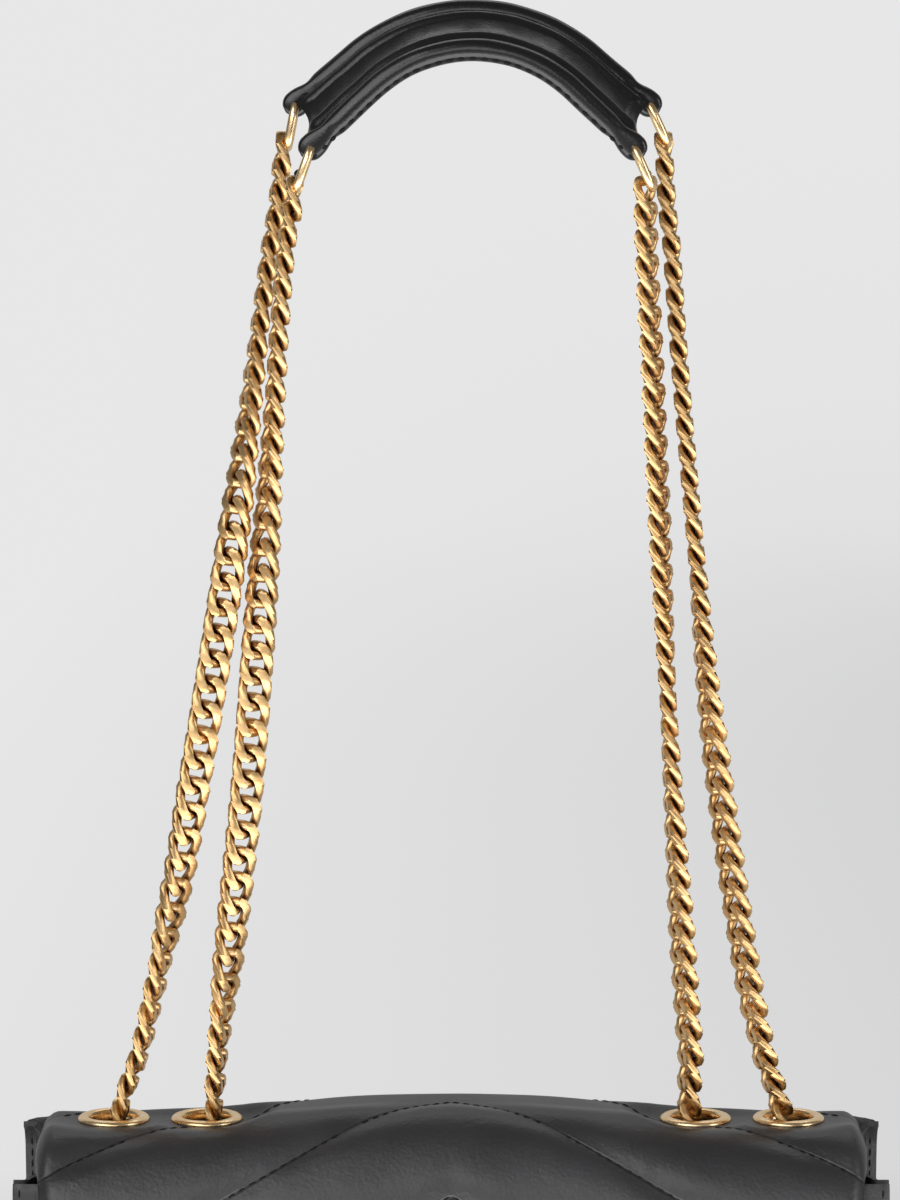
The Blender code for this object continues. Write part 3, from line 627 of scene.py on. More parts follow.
back_places = chevron_stitches(back_bottom_run + 5 * MM, PARTING_RUN - 1.5 * MM, shell_half,
                               6 * MM, shell_with_foot)
back_places += edge_stitches(back_bottom_run, SEAM_TOP_RUN - 3 * MM, shell_half, EDGE_STITCH,
                             shell_with_foot)
back_seams = stitches("stitches_back", back_places)
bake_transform(back_seams, "bag", "flap_top", start=hinge_blend[0], end=hinge_blend[1])
flap_places = chevron_stitches(PARTING_RUN + 1.5 * MM, flap_end_run - 5 * MM, shell_half,
                               4 * MM, shell_with_foot)
flap_seams = stitches("stitches_flap", flap_places)
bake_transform(flap_seams, "flap_top", "flap_front", start=fold_blend[0], end=fold_blend[1])

# Flap lining
# Plain thin calf glued inside the flap and set back from its edges. It bends with the flap, and
# creases a little where the flap folds.
FLAP_LINING = 0.8 * MM
LINING_GAP = 1.8 * MM
LINING_SET_IN = 3 * MM
flap_lining_end = flap_end_run - LINING_SET_IN


def flap_lining_half(run):
    """Half width of the flap's lining."""
    return shell_half(run + LINING_SET_IN) - shell_edge(run) - 0.5 * MM


def flap_lining_point(x, run, half):
    """A point of the flap lining's glued face."""
    y, z, out_y, out_z = skin(run)
    out = Vector((0, out_y, out_z))
    crease = 0.3 * MM * abs(noise.noise(Vector((x * 30, run * 160, 4.4))))
    crease *= smooth(RUN_AT_HINGE, PARTING_RUN, run) * (1 - smooth(run_flap_face, 0.06, run))
    return Vector((x, y, z)) - out * (LINING_GAP + crease), out


inner_flap = soft_grid(RUN_AT_HINGE + 0.8 * MM, flap_lining_end, flap_lining_half,
                       lambda run: 0.25 * MM, 1.8 * MM, flap_lining_point)
inner_flap = finished("flap_lining", inner_flap, plain_leather)
solidified(inner_flap, FLAP_LINING)
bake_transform(inner_flap, "flap_top", "flap_front", start=fold_blend[0], end=fold_blend[1])
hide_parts("flap_lining_top", "flap_lining_front")

# Front panel
# The front wall behind the flap: the same calf, quilted in the same chevrons, flat along its sewn
# edges and round the magnet, with a turned top edge.
FRONT_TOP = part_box("front_panel")[1][2] + 3.2 * MM
LEATHER = 2 * MM
SEAM_MARGIN = 6.5 * MM
MAGNET_CLEAR = 11 * MM
magnet_low, magnet_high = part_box("magnet_socket")
magnet_z = (magnet_low[2] + magnet_high[2]) / 2
FRONT_OUT = Vector((0, -math.cos(FRONT_LEAN), math.sin(FRONT_LEAN)))


def front_wall(x, z, depth):
    """A point this deep behind the flat front."""
    return Vector((x, -BASE_HALF + z * math.tan(FRONT_LEAN) + depth / math.cos(FRONT_LEAN), z))


def back_wall(x, z, depth):
    """A point this deep in front of the back, which bends over at its top."""
    y = BASE_HALF - z * math.tan(BACK_LEAN) - depth / math.cos(BACK_LEAN)
    above = z - roof_z + BACK_BEND
    if above > 0:
        reach = (BACK_BEND - depth) ** 2 - above ** 2
        y = min(y, BACK_BEND_Y + math.sqrt(max(0, reach)))
    return Vector((x, y, z))


def front_point(x, run, half):
    """A point of the quilted front, whose run is measured downwards from its top edge."""
    z = FRONT_TOP - run
    height = puff(x, run, half - SEAM_MARGIN - abs(x), min(run - 9 * MM, z - 6 * MM))
    height *= smooth(9 * MM, 18 * MM, math.hypot(x, z - magnet_z))
    hem = 0.5 * MM * smooth(0, 1.2 * MM, run) * (1 - smooth(6 * MM, 6.8 * MM, run))
    return front_wall(x, z, 0) + FRONT_OUT * (height * 0.7 + hem), FRONT_OUT


front = soft_grid(0, FRONT_TOP - 0.4 * MM, lambda run: bag_half, lambda run: SEWN_EDGE, 1.5 * MM,
                  front_point)
front_leather = finished("front_wall", front, satin_leather)
solidified(front_leather, SKIN)
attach(front_leather, "bag")
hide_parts("front_panel")
front_places = chevron_stitches(13 * MM, FRONT_TOP - 6 * MM, lambda run: bag_half,
                                SEAM_MARGIN + 2 * MM, front_point)
front_places = [place for place in front_places
                if math.hypot(place[0].x, place[0].z - magnet_z) > MAGNET_CLEAR]
front_places += edge_stitches(1 * MM, FRONT_TOP - 3 * MM, lambda run: bag_half, EDGE_STITCH,
                              front_point)
steps = int(2 * bag_half / SEAM_PITCH)
for index in range(-steps // 2 + 2, steps // 2 - 1):
    point = front_point((index + 0.5) * SEAM_PITCH, SEAM_MARGIN, bag_half)[0]
    front_places.append((point, Vector((1, 0, 0))))
front_seams = stitches("stitches_front", front_places)
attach(front_seams, "bag")

# Gussets
# The side walls, of thinner plain calf: their edges turn outwards and are sewn to the front and
# the back, and each folds softly inwards along its middle, deepest at the mouth.
GUSSET = 1.4 * MM
SEAM_EDGE = 3.5 * MM
PANEL_DEPTH = LEATHER + 0.3 * MM + GUSSET
GUSSET_TURN = 1.6 * MM
BELLOWS = 7 * MM
gusset_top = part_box("gusset_left")[1][2] + 5.7 * MM


def mapped_grid(columns, rows, place, closed_around=False):
    """A grid whose vertices are put in place by a function of two shares from 0 to 1."""
    solid = bmesh.new()
    bmesh.ops.create_grid(solid, x_segments=columns, y_segments=rows, size=1)
    for corner in solid.verts:
        corner.co = place((corner.co.x + 1) / 2, (corner.co.y + 1) / 2)
    if closed_around:
        bmesh.ops.remove_doubles(solid, verts=solid.verts, dist=0.002 * MM)
    bmesh.ops.recalc_face_normals(solid, faces=solid.faces[:])
    return solid


def fold_in(z, share):
    """How far a gusset's middle folds inwards, at a height and a share of the depth."""
    up = smooth(20 * MM, gusset_top, z)
    return BELLOWS * up * max(0, 1 - (2.1 * abs(share - 0.5)) ** 1.5) ** 1.2


def gusset_solid(side):
    """The gusset's outer face, from the front seam round the web to the back seam."""

    def place(across_share, up_share):
        """A point of the gusset, from its front edge to its back edge."""
        front_z = up_share * (FRONT_TOP + 0.3 * MM)
        back_z = up_share * gusset_top
        front_corner = front_wall(0, front_z, PANEL_DEPTH).y
        back_corner = back_wall(0, back_z, PANEL_DEPTH).y
        total = 2 * SEAM_EDGE + back_corner - front_corner
        distance = across_share * total
        beyond_front = distance - SEAM_EDGE
        share = min(max(beyond_front / (back_corner - front_corner), 0), 1)
        z = front_z + (back_z - front_z) * share
        z -= 3.5 * MM * up_share ** 6 * math.sin(math.pi * share) ** 2
        y = front_corner + share * (back_corner - front_corner)
        x = bag_half - SEAM_EDGE
        if distance < SEAM_EDGE:
            x = bag_half - distance
        elif distance > total - SEAM_EDGE:
            x = bag_half - (total - distance)
        near = min(abs(beyond_front), abs(total - SEAM_EDGE - distance))
        x += GUSSET_TURN * max(0, 1 - near / (2 * GUSSET_TURN)) ** 2 * 0.35
        x -= fold_in(z, share)
        ripple = noise.noise(Vector((y * 42, z * 26, side * 3.3))) * 0.7 * MM
        x += ripple * math.sin(math.pi * share)
        return Vector((side * x, y, z))

    return mapped_grid(96, 120, place)


for hand, side in (("left", -1), ("right", 1)):
    solid = gusset_solid(side)
    middle = sum((f.normal for f in solid.faces), Vector())
    if middle.x * side < 0:
        bmesh.ops.reverse_faces(solid, faces=solid.faces[:])
    side_wall = finished("gusset_wall_" + hand, solid, plain_leather)
    solidified(side_wall, GUSSET)
    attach(side_wall, "bag")
    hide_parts("gusset_" + hand)
    rows = []
    for index in range(int((gusset_top - 4 * MM) / SEAM_PITCH)):
        z = 2 * MM + (index + 0.5) * SEAM_PITCH
        x = side * (bag_half - EDGE_STITCH)
        for wall, top in ((back_wall, gusset_top), (front_wall, FRONT_TOP - 2 * MM)):
            if z < top:
                point = wall(x, z, PANEL_DEPTH + 0.05 * MM)
                ahead = wall(x, z + AHEAD, PANEL_DEPTH + 0.05 * MM)
                rows.append((point, (ahead - point).normalized()))
    seam = stitches("stitches_gusset_" + hand, rows)
    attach(seam, "bag")

# Base
# A flat leather bottom between the seams, with edges that are turned under and painted round. It
# lies on a stiff board, and its face has faint dents.
base_low, base_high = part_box("base_panel")


def powered(value, power):
    """A value raised to a power, with its sign kept."""
    return math.copysign(abs(value) ** power, value)


def base_place(along_share, round_share):
    """A point of the base's skin, round its section from end to end."""
    u = 2 * along_share - 1
    angle = 2 * math.pi * round_share
    across = powered(math.cos(angle), 0.28)
    up = powered(math.sin(angle), 0.5)
    shrink = (1 - abs(u) ** 24) ** 0.5 if abs(u) < 1 else 0.02
    x = (base_low.x + base_high.x) / 2 + u * (base_high.x - base_low.x) / 2
    y = (base_low.y + base_high.y) / 2 + across * (base_high.y - base_low.y) / 2
    middle = (base_low.z + base_high.z) / 2
    dent = 0.15 * MM * noise.noise(Vector((x * 60, y * 60, 1.7)))
    return Vector((x, y, middle + up * shrink * (base_high.z - base_low.z) / 2 * 0.96 + dent))


base = finished("base", mapped_grid(180, 40, base_place, True), plain_leather)
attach(base, "bag")
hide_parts("base_panel")

# Lining
# A loose bag of fine black twill glued to the walls at its mouth: it has soft folds, follows the
# gussets' folds, and is held flat round the zip.
lining_low, lining_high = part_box("lining")
LINING_DEPTH = 4.2 * MM
zip_low, zip_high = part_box("zip_tape")
zip_z = (zip_low.z + zip_high.z) / 2
ZIP_FLAT_HALF = 80 * MM
WALL_SHARE = 0.75
LINING_THICKNESS = 0.6 * MM
twill, tree, shader = material("lining_twill")
shader.inputs["Roughness"].default_value = 0.75
shader.inputs["Sheen Weight"].default_value = 0.25
weave = tree.nodes.new("ShaderNodeTexWave")
weave.bands_direction = "DIAGONAL"
weave.inputs["Scale"].default_value = 420
weave.inputs["Distortion"].default_value = 0.6
tree.links.new(coordinates(tree), weave.inputs["Vector"])
wash = ramped(tree, spotted(tree, 30), (0, (0.012, 0.012, 0.013)), (1, (0.03, 0.029, 0.031)))
ribbed = multiplied(tree, 0.5, wash, weave.outputs["Color"])
tree.links.new(ribbed, shader.inputs["Base Color"])
bumped(tree, weave.outputs["Fac"], 0.4, 0.1 * MM, shader.inputs["Normal"])


def lining_place(round_share, down_share):
    """A point of the lining: round its mouth, and down the wall and across the floor."""
    walk = (round_share * 4) % 4
    side, along = int(walk), 2 * (walk % 1) - 1
    u, v = ((along, -1), (1, along), (-along, 1), (-1, -along))[side]
    inwards = 1
    w = 1 - down_share / WALL_SHARE
    if down_share > WALL_SHARE:
        w = 0
        inwards = 1 - (down_share - WALL_SHARE) / (1 - WALL_SHARE)
    z = lining_low.z + (lining_high.z - lining_low.z) * w
    u *= inwards
    v *= inwards
    share = (v + 1) / 2
    front_y = front_wall(0, z, LINING_DEPTH).y
    back_y = back_wall(0, z, LINING_DEPTH).y
    half = bag_half - SEAM_EDGE - GUSSET - 1.1 * MM - fold_in(z, share)
    fold = 1.1 * MM * abs(noise.noise(Vector((u * 5.5, v * 4, w * 3.2 + 2))))
    fold *= smooth(0, 0.16, w) * (1 - smooth(0.9, 1, w))
    if v > 0.9:
        beside = max(abs(u * half) - ZIP_FLAT_HALF, 0)
        fold *= smooth(12 * MM, 24 * MM, math.hypot(beside, z - zip_z))
    x = u * (half - fold * abs(u) ** 8)
    y = front_y + (back_y - front_y) * share - math.copysign(fold * abs(v) ** 8, v)
    return Vector((x, y, z))


solid = mapped_grid(240, 70, lining_place, True)
nearest = max(solid.faces, key=lambda face: face.calc_center_median().x)
if nearest.normal.x < 0:
    bmesh.ops.reverse_faces(solid, faces=solid.faces[:])
inner_bag = finished("lining_bag", solid, twill)
solidified(inner_bag, LINING_THICKNESS)
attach(inner_bag, "bag")
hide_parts("lining")

# Gold plate
# Brass under a warm gold plate, polished on the eyelets, the rings and the zip and a little duller
# on the chain: faint rubbing marks, an uneven polish, and a painted shade of dark brown where parts lie
# close.


def gold_plate(name, dull, bright, low_roughness):
    """Plated brass between two tints, with painted shade in its crevices."""
    made, tree, shader = material(name)
    shader.inputs["Metallic"].default_value = 1
    wear = spotted(tree, 240, 4)
    tint = ramped(tree, wear, (0.3, dull), (0.7, bright))
    crevice = tree.nodes.new("ShaderNodeAmbientOcclusion")
    crevice.samples = 4
    crevice.only_local = True
    crevice.inputs["Distance"].default_value = 1.6 * MM
    # Painted shade: ambient occlusion darkens the colour to brown where parts lie close.
    crevice_painted_shade = ramped(tree, crevice.outputs["AO"], (0.25, (0.2, 0.09, 0.03)), (0.85, (1, 1, 1)))
    tree.links.new(multiplied(tree, 1, tint, crevice_painted_shade), shader.inputs["Base Color"])
    polish = mapped(tree, wear, 0, 1, low_roughness, low_roughness + 0.14)
    tree.links.new(polish, shader.inputs["Roughness"])
    bumped(tree, wear, 0.12, 0.03 * MM, shader.inputs["Normal"])
    return made


gold = gold_plate("gold_plate", (0.9, 0.6, 0.29), (0.99, 0.76, 0.46), 0.2)
chain_gold = gold_plate("chain_gold", (0.62, 0.385, 0.16), (0.74, 0.5, 0.245), 0.3)

# Eyelets, washers and magnets
# Turned brass pieces under the same gold plate: a rolled eyelet with a domed rim in each hole of
# the roof, a washer under it, and a magnet snap of two discs in nickel.


def turned(name, profile, place, finish):
    """A closed profile of (radius, height) points turned about an axis."""
    solid = bmesh.new()
    corners = [solid.verts.new((radius, 0, height)) for radius, height in profile]
    edges = [solid.edges.new(pair) for pair in zip(corners, corners[1:] + corners[:1])]
    bmesh.ops.spin(solid, geom=corners + edges, axis=(0, 0, 1), cent=(0, 0, 0),
                   angle=2 * math.pi, steps=72, use_merge=True)
    bmesh.ops.transform(solid, matrix=place, verts=solid.verts)
    bmesh.ops.recalc_face_normals(solid, faces=solid.faces[:])
    return finished(name, solid, finish)


EYELET = [(6.55, -3.1), (6.5, -0.9), (6.52, 0.2), (6.7, 0.75), (7.1, 1.1), (7.7, 1.28),
          (8.4, 1.24), (9.05, 1), (9.5, 0.62), (9.72, 0.2), (9.6, -0.1), (9.2, -0.2),
          (7.35, -0.25), (7.15, -0.7), (7.15, -3.1)]
WASHER = [(7.4, -2.35), (9.3, -2.35), (9.4, -2.5), (9.4, -2.75), (9.3, -2.9), (7.4, -2.9)]
for name, (x, y) in zip(("outer_left", "inner_left", "inner_right", "outer_right"),
                        eyelet_places):
    place = Matrix.Translation((x, y, roof_z)) @ Matrix.Scale(MM, 4)
    eyelet = turned("rim_" + name, EYELET, place, gold)
    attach(eyelet, "bag")
    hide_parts("eyelet_" + name)
    washer = turned("under_washer_" + name, WASHER, place, gold)
    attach(washer, "bag")
    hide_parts("washer_" + name)

nickel, tree, shader = material("nickel")
shader.inputs["Metallic"].default_value = 1
brushed = spotted(tree, 900)
grey = ramped(tree, brushed, (0, (0.46, 0.44, 0.42)), (1, (0.66, 0.64, 0.61)))
tree.links.new(grey, shader.inputs["Base Color"])
tree.links.new(mapped(tree, brushed, 0, 1, 0.2, 0.4), shader.inputs["Roughness"])
DISC_HALF = 0.45 * MM
DISC = [(0.02, 0), (7.6, 0), (7.95, 0.15), (8, 0.45), (7.95, 0.75), (7.6, 0.9), (6.2, 0.9),
        (5.9, 0.7), (5.6, 0.9), (0.02, 0.9)]
for name, body in (("magnet_socket", "bag"), ("magnet_stud", "flap_front")):
    low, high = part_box(name)
    middle = (low + high) / 2
    turn = Matrix.Rotation(math.pi / 2 - FRONT_LEAN, 4, "X")
    place = Matrix.Translation(middle - FRONT_OUT * DISC_HALF) @ turn @ Matrix.Scale(MM, 4)
    disc = turned(name + "_disc", DISC, place, nickel)
    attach(disc, body)
    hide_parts(name)

# Zip
# The zip of the inner pocket: a twill tape sewn to the lining, with a row of brass teeth clamped
# on it, a cast gold slider that runs on the teeth, and its puller.
for corner_name, finish in (("zip_tape", twill), ("zip_slider", gold), ("zip_puller", gold)):
    source = frame["nodes"][corner_name]
    solid = bmesh.new()
    solid.from_mesh(source.data)
    bmesh.ops.remove_doubles(solid, verts=solid.verts, dist=0.01 * MM)
    bmesh.ops.dissolve_limit(solid, angle_limit=math.radians(2), verts=solid.verts,
                             edges=solid.edges)
    sharp = [e for e in solid.edges if e.is_manifold and e.calc_face_angle() > math.radians(50)]
    bmesh.ops.bevel(solid, geom=sharp, offset=0.18 * MM, segments=2, profile=0.5, material=-1,
                    affect="EDGES", clamp_overlap=True)
    made = finished(corner_name + "_worn", solid, finish)
    made.data.set_sharp_from_angle(angle=math.radians(50))
    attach(made, source["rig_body"])
    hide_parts(corner_name)
coil_low, coil_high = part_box("zip_coil")
coil_middle = (coil_low + coil_high) / 2
TOOTH = 1.12 * MM
TOOTH_PITCH = 1.3 * MM
tooth_turn = Matrix.Rotation(BACK_LEAN, 4, "X")
teeth = bmesh.new()
count = int((coil_high.x - coil_low.x) / TOOTH_PITCH)
for index in range(count):
    side = 1 if index % 2 else -1
    x = coil_low.x + (index + 0.5) * TOOTH_PITCH
    shape = Matrix.Translation((x, coil_middle.y, coil_middle.z)) @ tooth_turn
    shape @= Matrix.Translation((0, 0, side * 0.55 * MM)) @ Matrix.Diagonal((1, 1, 2.6, 1))
    bmesh.ops.create_cube(teeth, size=TOOTH, matrix=shape)
bmesh.ops.bevel(teeth, geom=teeth.edges[:], offset=0.2 * MM, segments=1, profile=0.5,
                material=-1, affect="EDGES", clamp_overlap=True)
zip_teeth = finished("zip_teeth", teeth, gold)
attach(zip_teeth, "bag")
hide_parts("zip_coil")

# Base board
# A stiff greyboard cut with a knife and laid under the lining, out of sight in use. The packed
# solid has its shape, and takes a fibrous card finish here.
card, tree, shader = material("greyboard")
shader.inputs["Roughness"].default_value = 0.9
fibre = ramped(tree, spotted(tree, 400, 6), (0, (0.22, 0.19, 0.15)), (1, (0.4, 0.36, 0.3)))
tree.links.new(fibre, shader.inputs["Base Color"])
board = frame["nodes"]["base_board"]
board.data.materials.clear()
board.data.materials.append(card)

# Curb chain
# Solid links of oval wire, bent into long squarish loops, twisted, and ground flat on both faces
# and both edges, each locked through the next. Each pair of strands is one chain that turns round
# under the roof.
CHAIN_WIRE = 2.8 * MM
WIRE_DEPTH = 3.1 * MM
LINK_LENGTH = 12.2 * MM
LINK_WIDTH = 9.5 * MM
LINK_PITCH = 6.9 * MM
LINK_TWIST = math.radians(-50)
LINK_SQUARENESS = 0.5
GROUND_HALF = 2.3 * MM
EDGE_HALF = 4.45 * MM
LINK_STEPS = 24


def link_mesh():
    """One link along Z, its mean plane in XZ."""
    ring = bmesh.new()
    bmesh.ops.create_circle(ring, segments=10, radius=CHAIN_WIRE / 2)
    bmesh.ops.rotate(ring, cent=(0, 0, 0), matrix=Matrix.Rotation(math.pi / 2, 3, "X"),
                     verts=ring.verts)
    middle = 4 * CHAIN_WIRE
    bmesh.ops.translate(ring, vec=(middle, 0, 0), verts=ring.verts)
    bmesh.ops.spin(ring, geom=ring.verts[:] + ring.edges[:], axis=(0, 0, 1), cent=(0, 0, 0),
                   angle=2 * math.pi, steps=LINK_STEPS, use_merge=True)
    half_length = (LINK_LENGTH - CHAIN_WIRE) / 2
    half_width = (LINK_WIDTH - CHAIN_WIRE) / 2
    for corner in ring.verts:
        angle = math.atan2(corner.co.y, corner.co.x)
        off = math.hypot(corner.co.x, corner.co.y) - middle
        cosine = powered(math.cos(angle), LINK_SQUARENESS)
        sine = powered(math.sin(angle), LINK_SQUARENESS)
        power = 2 / LINK_SQUARENESS - 1
        out = Vector((powered(cosine, power) / half_width,
                      powered(sine, power) / half_length)).normalized()
        x = half_width * cosine + out.x * off
        z = half_length * sine + out.y * off
        turn = LINK_TWIST * max(-1, min(1, z / half_length))
        y = corner.co.z * WIRE_DEPTH / CHAIN_WIRE
        corner.co = (x * math.cos(turn) - y * math.sin(turn),
                     x * math.sin(turn) + y * math.cos(turn), z)
        corner.co.x = max(-EDGE_HALF, min(EDGE_HALF, corner.co.x))
        corner.co.y = max(-GROUND_HALF, min(GROUND_HALF, corner.co.y))
    bmesh.ops.recalc_face_normals(ring, faces=ring.faces[:])
    shape = bpy.data.meshes.new("link")
    ring.to_mesh(shape)
    ring.free()
    return shape


link_shape = link_mesh()


def table(rows, value):
    """Reads a table of (place, value) rows, straight between its rows."""
    for (low, first), (high, second) in zip(rows, rows[1:]):
        if value <= high:
            return first + (second - first) * max(0, (value - low) / (high - low))
    return rows[-1][1]


def chain_run(points, first, spacing, turn_at):
    """Links along a path of points: a list of (middle, matrix) by their running length."""
    lengths = [0]
    for a, b in zip(points, points[1:]):
        lengths.append(lengths[-1] + (b - a).length)
    placed = []
    run = first
    index = 0
    while run < lengths[-1]:
        while lengths[index + 1] < run:
            index += 1
        step = points[index + 1] - points[index]
        middle = points[index] + step * ((run - lengths[index]) / step.length)
        tangent = step.normalized()
        back = (Vector((0, 1, 0)) - tangent * tangent.y).normalized()
        side = back.cross(tangent)
        matrix = Matrix((side, back, tangent)).transposed()
        matrix = (matrix @ Matrix.Rotation(turn_at(middle.z), 3, "Z")).to_4x4()
        matrix.translation = middle
        placed.append((middle, matrix))
        run += spacing
    return placed


def chain_piece(name, placed):
    """One object of the links that are placed."""
    solid = bmesh.new()
    for middle, matrix in placed:
        copy = link_shape.copy()
        copy.transform(matrix)
        solid.from_mesh(copy)
        bpy.data.meshes.remove(copy)
    piece = finished(name, solid, chain_gold)
    piece.data.set_sharp_from_angle(angle=math.radians(38))
    return piece


EYELET_Y = 8 * MM
PIVOT_Z = 171.5 * MM
LOWER_FOLD_Z = 215 * MM
UPPER_FOLD_Z = 330 * MM
LOWER_SPLIT_Z = 193 * MM
UPPER_SPLIT_Z = 272 * MM
PIVOT_REACH = 5 * MM
CHAIN_FOLD_REACH = 9 * MM
RING_HALF_WIRE = 1 * MM
RING_WIRE_IN = 1.6 * MM
OUTER_FOOT = 88.3
INNER_FOOT = 63.3
PATH_STEPS = 120
# A hair off the even spacing of the links, so that none lies on the very end of its path.
SHY = 0.9999
# Of each strand: the x of its foot and its bow towards the middle in mm, both negative on the left,
# its ring, the turn of its links in degrees by height in mm, and its lean in mm by height in mm.
STRANDS = {
    "outer_left": (-OUTER_FOOT, -5, "back_left",
                   ((176, 84), (190, 79), (205, 76), (221, 46), (245, 28), (262, 12), (301, -4),
                    (317, -20), (340, -52), (359, -72), (381, -84)),
                   ((172, 0.6), (184, 2.1), (216, 1.8), (232, 1.8), (253, 1), (281, 0.4),
                    (345, -0.6), (377, -1), (396, -0.8), (410, 0))),
    "inner_left": (-INNER_FOOT, -1.7, "front_left",
                   ((176, 82), (192, 70), (205, 46), (218, 34), (253, 12), (285, 0), (301, -25),
                    (317, -42), (335, -62), (350, -72), (364, -80), (412, -86)),
                   ((172, -0.2), (184, -0.8), (249, -0.6), (265, -0.8), (281, -1.2), (313, -1.8),
                    (345, -2.3), (377, -2.7), (393, -2.6), (405, -2), (412, -1.2))),
    "inner_right": (INNER_FOOT, 1.7, "front_right",
                    ((176, 106), (190, 115), (221, 114), (237, 104), (269, 91), (301, 79),
                     (317, 72), (412, 72)),
                    ((172, 0.6), (184, 1.7), (329, 1.4), (364, 0.9), (396, 0), (410, 0))),
    "outer_right": (OUTER_FOOT, 5, "back_right",
                    ((176, 104), (190, 112), (206, 120), (237, 122), (269, 118), (285, 106),
                     (301, 97), (317, 88), (412, 84)),
                    ((172, -0.8), (184, -2.2), (200, -2.7), (249, -1.7), (281, -1), (313, 0.2),
                     (345, 0.8), (396, 1.3), (408, 0.8)))}
# Of each stretch: the bodies below and above its bend, the height and the reach of the bend, and
# the heights between which its links lie.
STRETCHES = (("lower", "bag", "strap_lower", PIVOT_Z, PIVOT_REACH, 0, LOWER_SPLIT_Z),
             ("middle", "strap_lower", "strap_middle", LOWER_FOLD_Z, CHAIN_FOLD_REACH,
              LOWER_SPLIT_Z, UPPER_SPLIT_Z),
             ("upper", "strap_middle", "strap_upper", UPPER_FOLD_Z, CHAIN_FOLD_REACH,
              UPPER_SPLIT_Z, math.inf))
for place, (start_x, bow, ring_name, turns, leans) in STRANDS.items():
    low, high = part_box("ring_" + ring_name)
    side = math.copysign(1, start_x)
    ring_x = high[0] if side > 0 else low[0]
    end = Vector((ring_x - side * RING_WIRE_IN, (low[1] + high[1]) / 2,
                  low[2] + RING_HALF_WIRE * 2 + CHAIN_WIRE))
    start = Vector((start_x * MM, EYELET_Y, PIVOT_Z))
    path = []
    for step in range(PATH_STEPS + 1):
        share = step / PATH_STEPS
        z = start.z + (end.z - start.z) * share
        spread = max(0, (z - UPPER_FOLD_Z) / (end.z - UPPER_FOLD_Z))
        x = start.x + (end.x - start.x) * share - bow * MM * 4 * share * (1 - share)
        x += table(leans, z / MM) * MM
        path.append(Vector((x, EYELET_Y + (end.y - EYELET_Y) * spread, z)))
    length = sum((b - a).length for a, b in zip(path, path[1:]))
    count = round((length - LINK_LENGTH / 2) / LINK_PITCH)
    spacing = (length - LINK_LENGTH / 2) / count
    placed = chain_run(path, 0, spacing * SHY, lambda z: math.radians(table(turns, z / MM)))
    for stretch, below, above, bend_z, reach, low_z, high_z in STRETCHES:
        held = [item for item in placed if low_z <= item[0].z < high_z]
        piece = chain_piece("chain_" + place + "_" + stretch, held)
        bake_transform(piece, below, above, start=(0, EYELET_Y, bend_z - reach),
                 end=(0, EYELET_Y, bend_z + reach))
        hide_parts("strand_" + place + "_" + stretch)

LOOP_Z = 149 * MM
LOOP_MIDDLE = 78 * MM
LOOP_RADIUS = 12.5 * MM
LOOP_STEPS = 48
for side, hand in ((-1, "left"), (1, "right")):
    path = [Vector((side * OUTER_FOOT * MM, EYELET_Y, PIVOT_Z))]
    for step in range(LOOP_STEPS + 1):
        angle = math.pi * step / LOOP_STEPS
        path.append(Vector((side * (LOOP_MIDDLE + LOOP_RADIUS * math.cos(angle)), EYELET_Y,
                            LOOP_Z - LOOP_RADIUS * math.sin(angle))))
    path.append(Vector((side * INNER_FOOT * MM, EYELET_Y, PIVOT_Z)))
    length = sum((b - a).length for a, b in zip(path, path[1:]))
    count = round(length / LINK_PITCH)
    # The links at the loop's two ends are the strands' own.
    placed = chain_run(path, length / count, length / count * SHY, lambda z: math.pi / 2)
    piece = chain_piece("chain_under_roof_" + hand, placed[:count - 1])
    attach(piece, "bag")
    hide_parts("chain_inside_" + hand)
bpy.data.meshes.remove(link_shape)

# Shoulder piece, rolls
# Two padded edges of one leather band: each is a cord wrapped in glossy leather, bowed up over the
# shoulder. At each end it narrows into a tongue that is folded round a ring and sewn down.
gloss_leather = leather("gloss_leather", (0.005, 0.0048, 0.0053), 0.27, 0.7 * MM, 0.04 * MM)
PAD_CENTRE = 5.6 * MM
ROLL = 3 * MM
TONGUE_HALF = 2.65 * MM
TONGUE_LENGTH = 9 * MM
LOOP = 3.5 * MM
# Of each arch: its y, the height of its top, its radius, half its angle and the straight tail
# beyond the bow.
ARCHES = {"back": (17 * MM, 460.3 * MM, 48 * MM, math.radians(40), 20.5 * MM),
          "front": (-1 * MM, 450.2 * MM, 38 * MM, math.radians(43), 22 * MM)}


def arch_at(name, distance):
    """Place and upward normal of an arch at a distance from its top, negative to the left."""
    y, top, radius, turn, tail = ARCHES[name]
    side = math.copysign(1, distance)
    angle = min(abs(distance) / radius, turn)
    beyond = max(0, abs(distance) - radius * turn)
    x = radius * math.sin(angle) + beyond * math.cos(angle)
    z = top - radius * (1 - math.cos(angle)) - beyond * math.sin(angle)
    return (Vector((PAD_CENTRE + side * x, y, z)),
            Vector((side * math.sin(angle), 0, math.cos(angle))))


def arch_half(name):
    """Distance from an arch's top to the middle of its ring's wire."""
    y, top, radius, turn, tail = ARCHES[name]
    return radius * turn + tail


